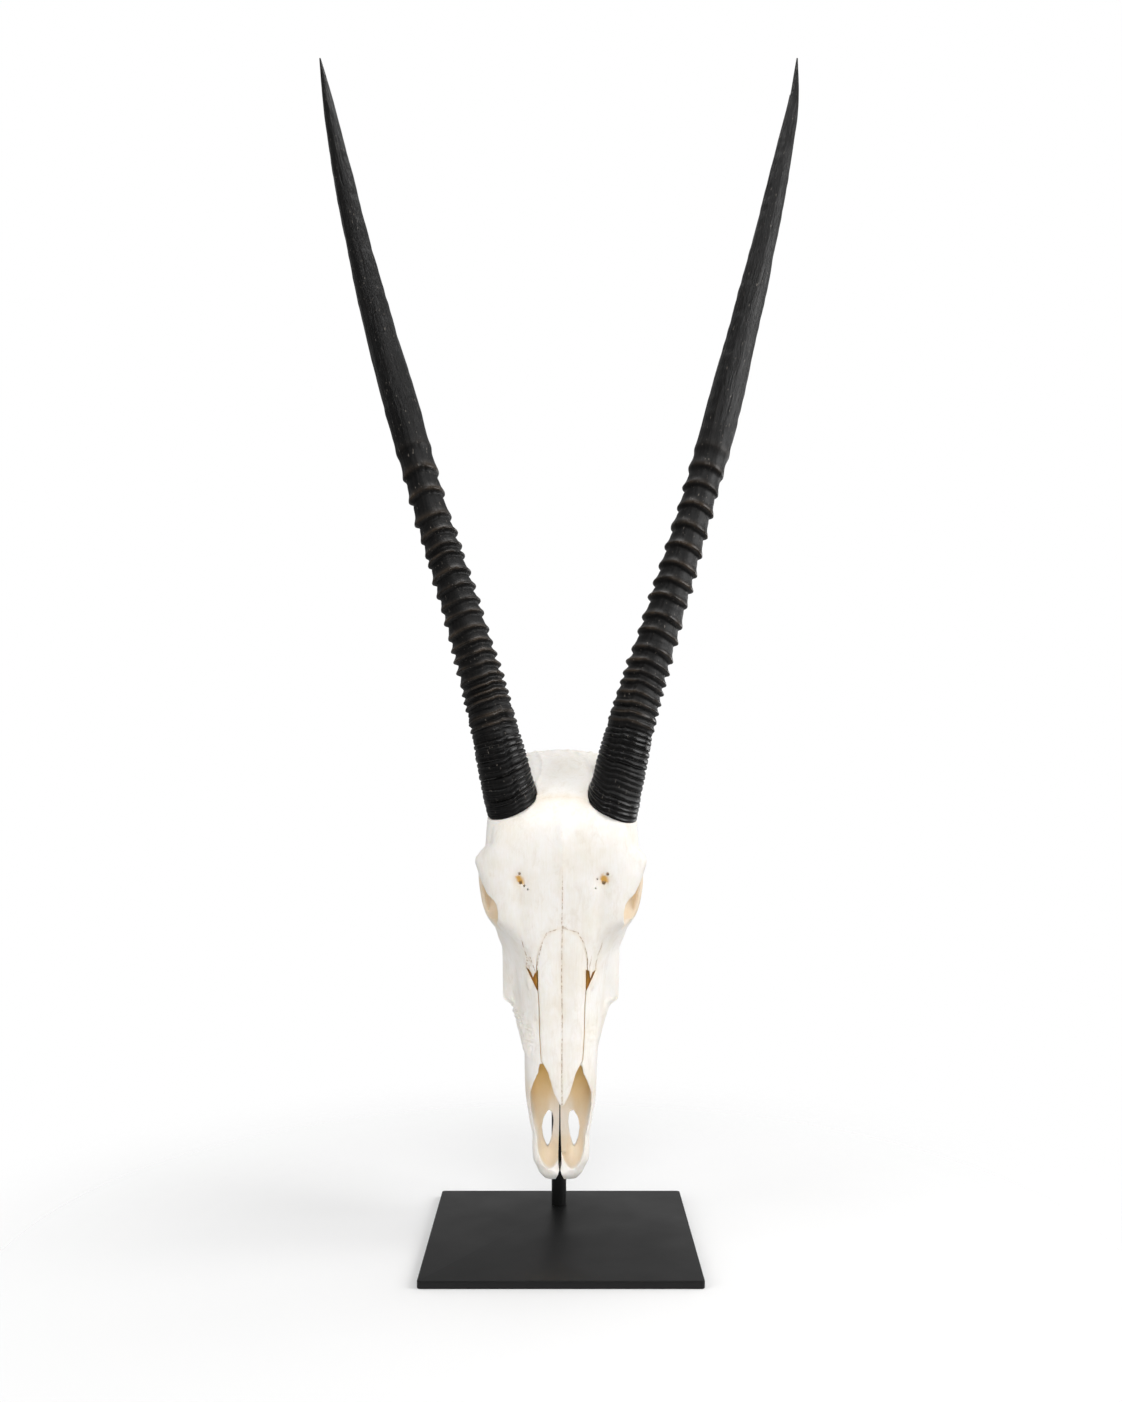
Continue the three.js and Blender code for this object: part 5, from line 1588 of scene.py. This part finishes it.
@dataclass
class Stand:
    """Square plate, bent round post and the screw that joins them from below."""

    plate_side: float = 250.0
    plate_thickness: float = 7.0
    corner: float = 3.0
    edge: float = 0.8
    post_radius: float = 7.5
    post_x: float = -2.0
    post_y: float = 80.7
    bend_radius: float = 30.0
    arm_height: float = 436.0
    arm_end_y: float = -4.0
    screw_radius: float = 4.0
    screw_head_radius: float = 8.0
    screw_head_depth: float = 4.0
    screw_length: float = 22.0
    screw_recess: float = 0.6
    hex_radius: float = 2.6
    hex_depth: float = 2.5

    def post_shape(self, name: str, grow: float) -> bpy.types.Object:
        """Post: a disc drawn up, spun round the bend and drawn out level.

        Args:
            name: Name of the new object.
            grow: How much wider than the post it is, in millimetres.

        Returns:
            The new object.
        """
        foot = self.plate_thickness + FIT_GAP
        bend_start = self.arm_height - self.bend_radius
        disc = {"vertices": 48, "radius": (self.post_radius + grow) * MM, "fill_type": "NGON"}
        post = primitive(bpy.ops.mesh.primitive_circle_add, name, location=(0, 0, 0), **disc)
        move_points(post, points_of(post) + np.array([self.post_x, self.post_y, foot]) * MM)
        with editing(post):
            bpy.ops.mesh.extrude_region_move(
                TRANSFORM_OT_translate={"value": (0, 0, (bend_start - foot) * MM)}
            )
            bpy.ops.mesh.spin(
                steps=24,
                angle=-math.pi / 2,
                center=(self.post_x * MM, (self.post_y - self.bend_radius) * MM, bend_start * MM),
                axis=(1, 0, 0),
            )
            reach = self.post_y - self.bend_radius - self.arm_end_y
            bpy.ops.mesh.extrude_region_move(TRANSFORM_OT_translate={"value": (0, -reach * MM, 0)})
        tidy_mesh(post)
        return post

    def _screw_shape(self, name: str, grow: float) -> bpy.types.Object:
        """Screw with a countersunk head, or with grow the hole that it needs."""
        shank, head = self.screw_radius + grow, self.screw_head_radius + grow
        bottom = -1.0 if grow else self.screw_recess
        outline = np.array(
            [
                (0, bottom),
                (head, bottom),
                (head, self.screw_recess + 0.8),
                (shank, self.screw_recess + self.screw_head_depth + grow),
                (shank, self.screw_recess + self.screw_length + grow),
                (0, self.screw_recess + self.screw_length + grow),
            ]
        )

        def place(turns: Array, row: Array) -> Array:
            radius, z = outline[row].T
            angle = turns * TURN
            x, y = radius * np.cos(angle), radius * np.sin(angle)
            return np.column_stack([x + self.post_x, y + self.post_y, z])

        return sleeve(name, 48, len(outline), place)

    def build(self, coat: bpy.types.Material, steel: bpy.types.Material) -> None:
        """Builds and dresses the plate, the post and the screw."""
        self._plate(coat)
        post = self.post_shape("post", 0)
        combine(post, [self._screw_shape("screw_room", FIT_GAP)], "DIFFERENCE")
        finish_piece(post, "post", coat)
        screw = self._screw_shape("post_screw", 0)
        socket = primitive(
            bpy.ops.mesh.primitive_cylinder_add,
            "hex_socket",
            vertices=6,
            radius=self.hex_radius * MM,
            depth=self.hex_depth * 2 * MM,
            location=(self.post_x * MM, self.post_y * MM, (self.screw_recess + 0.2) * MM),
        )
        settle(socket)
        combine(screw, [socket], "DIFFERENCE")
        apply_modifier(screw, "BEVEL", width=0.15 * MM, segments=2, limit_method="ANGLE")
        finish_piece(screw, "post_screw", steel)

    def _plate(self, coat: bpy.types.Material) -> None:
        """Square plate with rounded corners and softened edges, drilled for the screw."""
        middle = (0, 0, self.plate_thickness / 2 * MM)
        plate = primitive(bpy.ops.mesh.primitive_cube_add, "plate", size=MM, location=middle)
        plate.scale = (self.plate_side, self.plate_side, self.plate_thickness)
        settle(plate)
        places = points_of(plate)
        upright = [
            bool(np.allclose(places[edge.vertices[0]][:2], places[edge.vertices[1]][:2]))
            for edge in plate.data.edges
        ]
        choose(plate, "EDGE", upright)
        with editing(plate, select_all=False):
            bpy.ops.mesh.bevel(offset=self.corner * MM, segments=8, affect="EDGES")
        softened = {"limit_method": "ANGLE", "angle_limit": math.radians(60)}
        apply_modifier(plate, "BEVEL", width=self.edge * MM, segments=3, **softened)
        combine(plate, [self._screw_shape("screw_room", FIT_GAP)], "DIFFERENCE")
        finish_piece(plate, "base_plate", coat)


# ---------------------------------------------------------------- studio


@dataclass(frozen=True)
class SoftBox:
    """Square soft box that looks at a point above the middle of the plate.

    Attributes:
        name: Name of the light.
        place: Where it hangs, in metres.
        aim_height: Height of the point that it looks at, in metres.
        size: Side of the box, in metres.
        watts: Power.
        mirrored: Whether glossy surfaces show it.
    """

    name: str
    place: tuple[float, float, float]
    aim_height: float
    size: float
    watts: float
    mirrored: bool = True

    def hang(self) -> None:
        """Adds the light to the scene."""
        data = bpy.data.lights.new(self.name, "AREA")
        data.size = self.size
        data.energy = self.watts
        light = bpy.data.objects.new(self.name, data)
        light.location = self.place
        aim = Vector((0, 0, self.aim_height)) - Vector(self.place)
        light.rotation_euler = aim.to_track_quat("-Z", "Y").to_euler()
        light.visible_glossy = self.mirrored
        bpy.context.scene.collection.objects.link(light)


SOFT_BOXES = (
    SoftBox("key", (1.8, -0.45, 1.25), 0.55, 1.3, 29),
    SoftBox("fill", (-1.95, -0.9, 1.1), 0.5, 1.6, 20, mirrored=False),
    SoftBox("front", (0.2, -2.4, 0.4), 0.3, 1.2, 27, mirrored=False),
    SoftBox("over", (0.1, -1.5, 2.0), 0.6, 0.6, 7.5),
    SoftBox("top", (0.1, 0.25, 2.4), 0.4, 1.2, 16.5),
    SoftBox("rim", (1.9, 1.5, 0.5), 0.45, 0.9, 10),
    SoftBox("back_fill", (-1.9, 1.5, 0.5), 0.4, 0.9, 8, mirrored=False),
)


@dataclass
class Studio:
    """White paper floor that fades into the backdrop, the room round it and the camera."""

    camera_place: tuple[float, float, float] = (0.0001, -1.2952, 0.44366)
    camera_pitch: float = 3.243
    camera_lens: float = 33.917
    floor_side: float = 6.0
    floor_white: float = 0.85
    floor_fade: tuple[float, float] = (0.2, 0.7)
    room_levels: tuple[float, float] = (0.07, 0.27)
    backdrop_level: float = 0.27

    def build(self) -> None:
        """Builds the floor, the world, the lights and the camera."""
        self._floor()
        self._world()
        for box in SOFT_BOXES:
            box.hang()
        self._camera()

    def _floor(self) -> None:
        """White floor, solid round the stand and clear further out."""
        floor = primitive(bpy.ops.mesh.primitive_plane_add, "floor", size=self.floor_side)
        material, tree, place = blank_material("white_floor")
        reach = add_node(tree, "VectorMath", {"operation": "LENGTH", 0: place}, "Value")
        start, end = self.floor_fade
        fade = {"interpolation_type": "SMOOTHSTEP", 0: reach, 1: start, 2: end}
        paper = add_node(tree, "BsdfDiffuse", {"Color": (*[self.floor_white] * 3, 1.0)})
        clear = add_node(tree, "BsdfTransparent", {})
        mixed = add_node(tree, "MixShader", {0: add_node(tree, "MapRange", fade), 1: paper, 2: clear})
        add_node(tree, "OutputMaterial", {"Surface": mixed})
        floor.data.materials.append(material)

    def _world(self) -> None:
        """Room that is dim low down and brighter overhead, in front of a white backdrop."""
        world = bpy.data.worlds.new("studio")
        world.use_nodes = True
        tree = world.node_tree
        tree.nodes.clear()
        direction = add_node(tree, "TexCoord", {}, "Generated")
        low, high = self.room_levels
        along_z, along_y = (
            add_node(tree, "SeparateXYZ", {0: direction}, axis) for axis in ("Z", "Y")
        )
        room = add_node(tree, "MapRange", {0: along_z, 1: -0.3, 2: 0.9, 3: low, 4: high})
        glow = {0: along_y, 1: 0.3, 2: 0.95, 3: 0.0, 4: self.backdrop_level}
        level = add_node(tree, "Math", {"operation": "ADD", 0: room, 1: add_node(tree, "MapRange", glow)})
        seen = add_node(tree, "LightPath", {}, "Is Camera Ray")
        strength = add_node(tree, "Math", {"operation": "MAXIMUM", 0: level, 1: seen})
        white = {"Color": (1, 1, 1, 1), "Strength": strength}
        add_node(tree, "OutputWorld", {"Surface": add_node(tree, "Background", white)})
        bpy.context.scene.world = world
        bpy.context.scene.view_settings.view_transform = "Standard"

    def _camera(self) -> None:
        """Camera that looks along +Y and slightly up."""
        data = bpy.data.cameras.new("camera")
        data.lens = self.camera_lens
        data.sensor_width = 36.0
        camera = bpy.data.objects.new("camera", data)
        camera.location = self.camera_place
        camera.rotation_euler = (math.radians(90 + self.camera_pitch), 0, 0)
        bpy.context.scene.collection.objects.link(camera)
        bpy.context.scene.camera = camera


def main() -> None:
    """Builds the scene."""
    logging.basicConfig(level=logging.INFO, format="%(message)s")
    Studio().build()
    coat, steel = PowderCoat().make(), BlackenedSteel().make()
    Stand().build(coat, steel)
    horns, teeth = pair_of_horns(), tooth_rows()
    keratin = HornKeratin()
    for horn in horns:
        horn.build(keratin.make(horn.side))
    enamel = ToothEnamel().make()
    for tooth in teeth:
        tooth.build(enamel)
    Skull().build(BleachedBone().make(), horns, teeth)


if __name__ == "__main__":
    main()
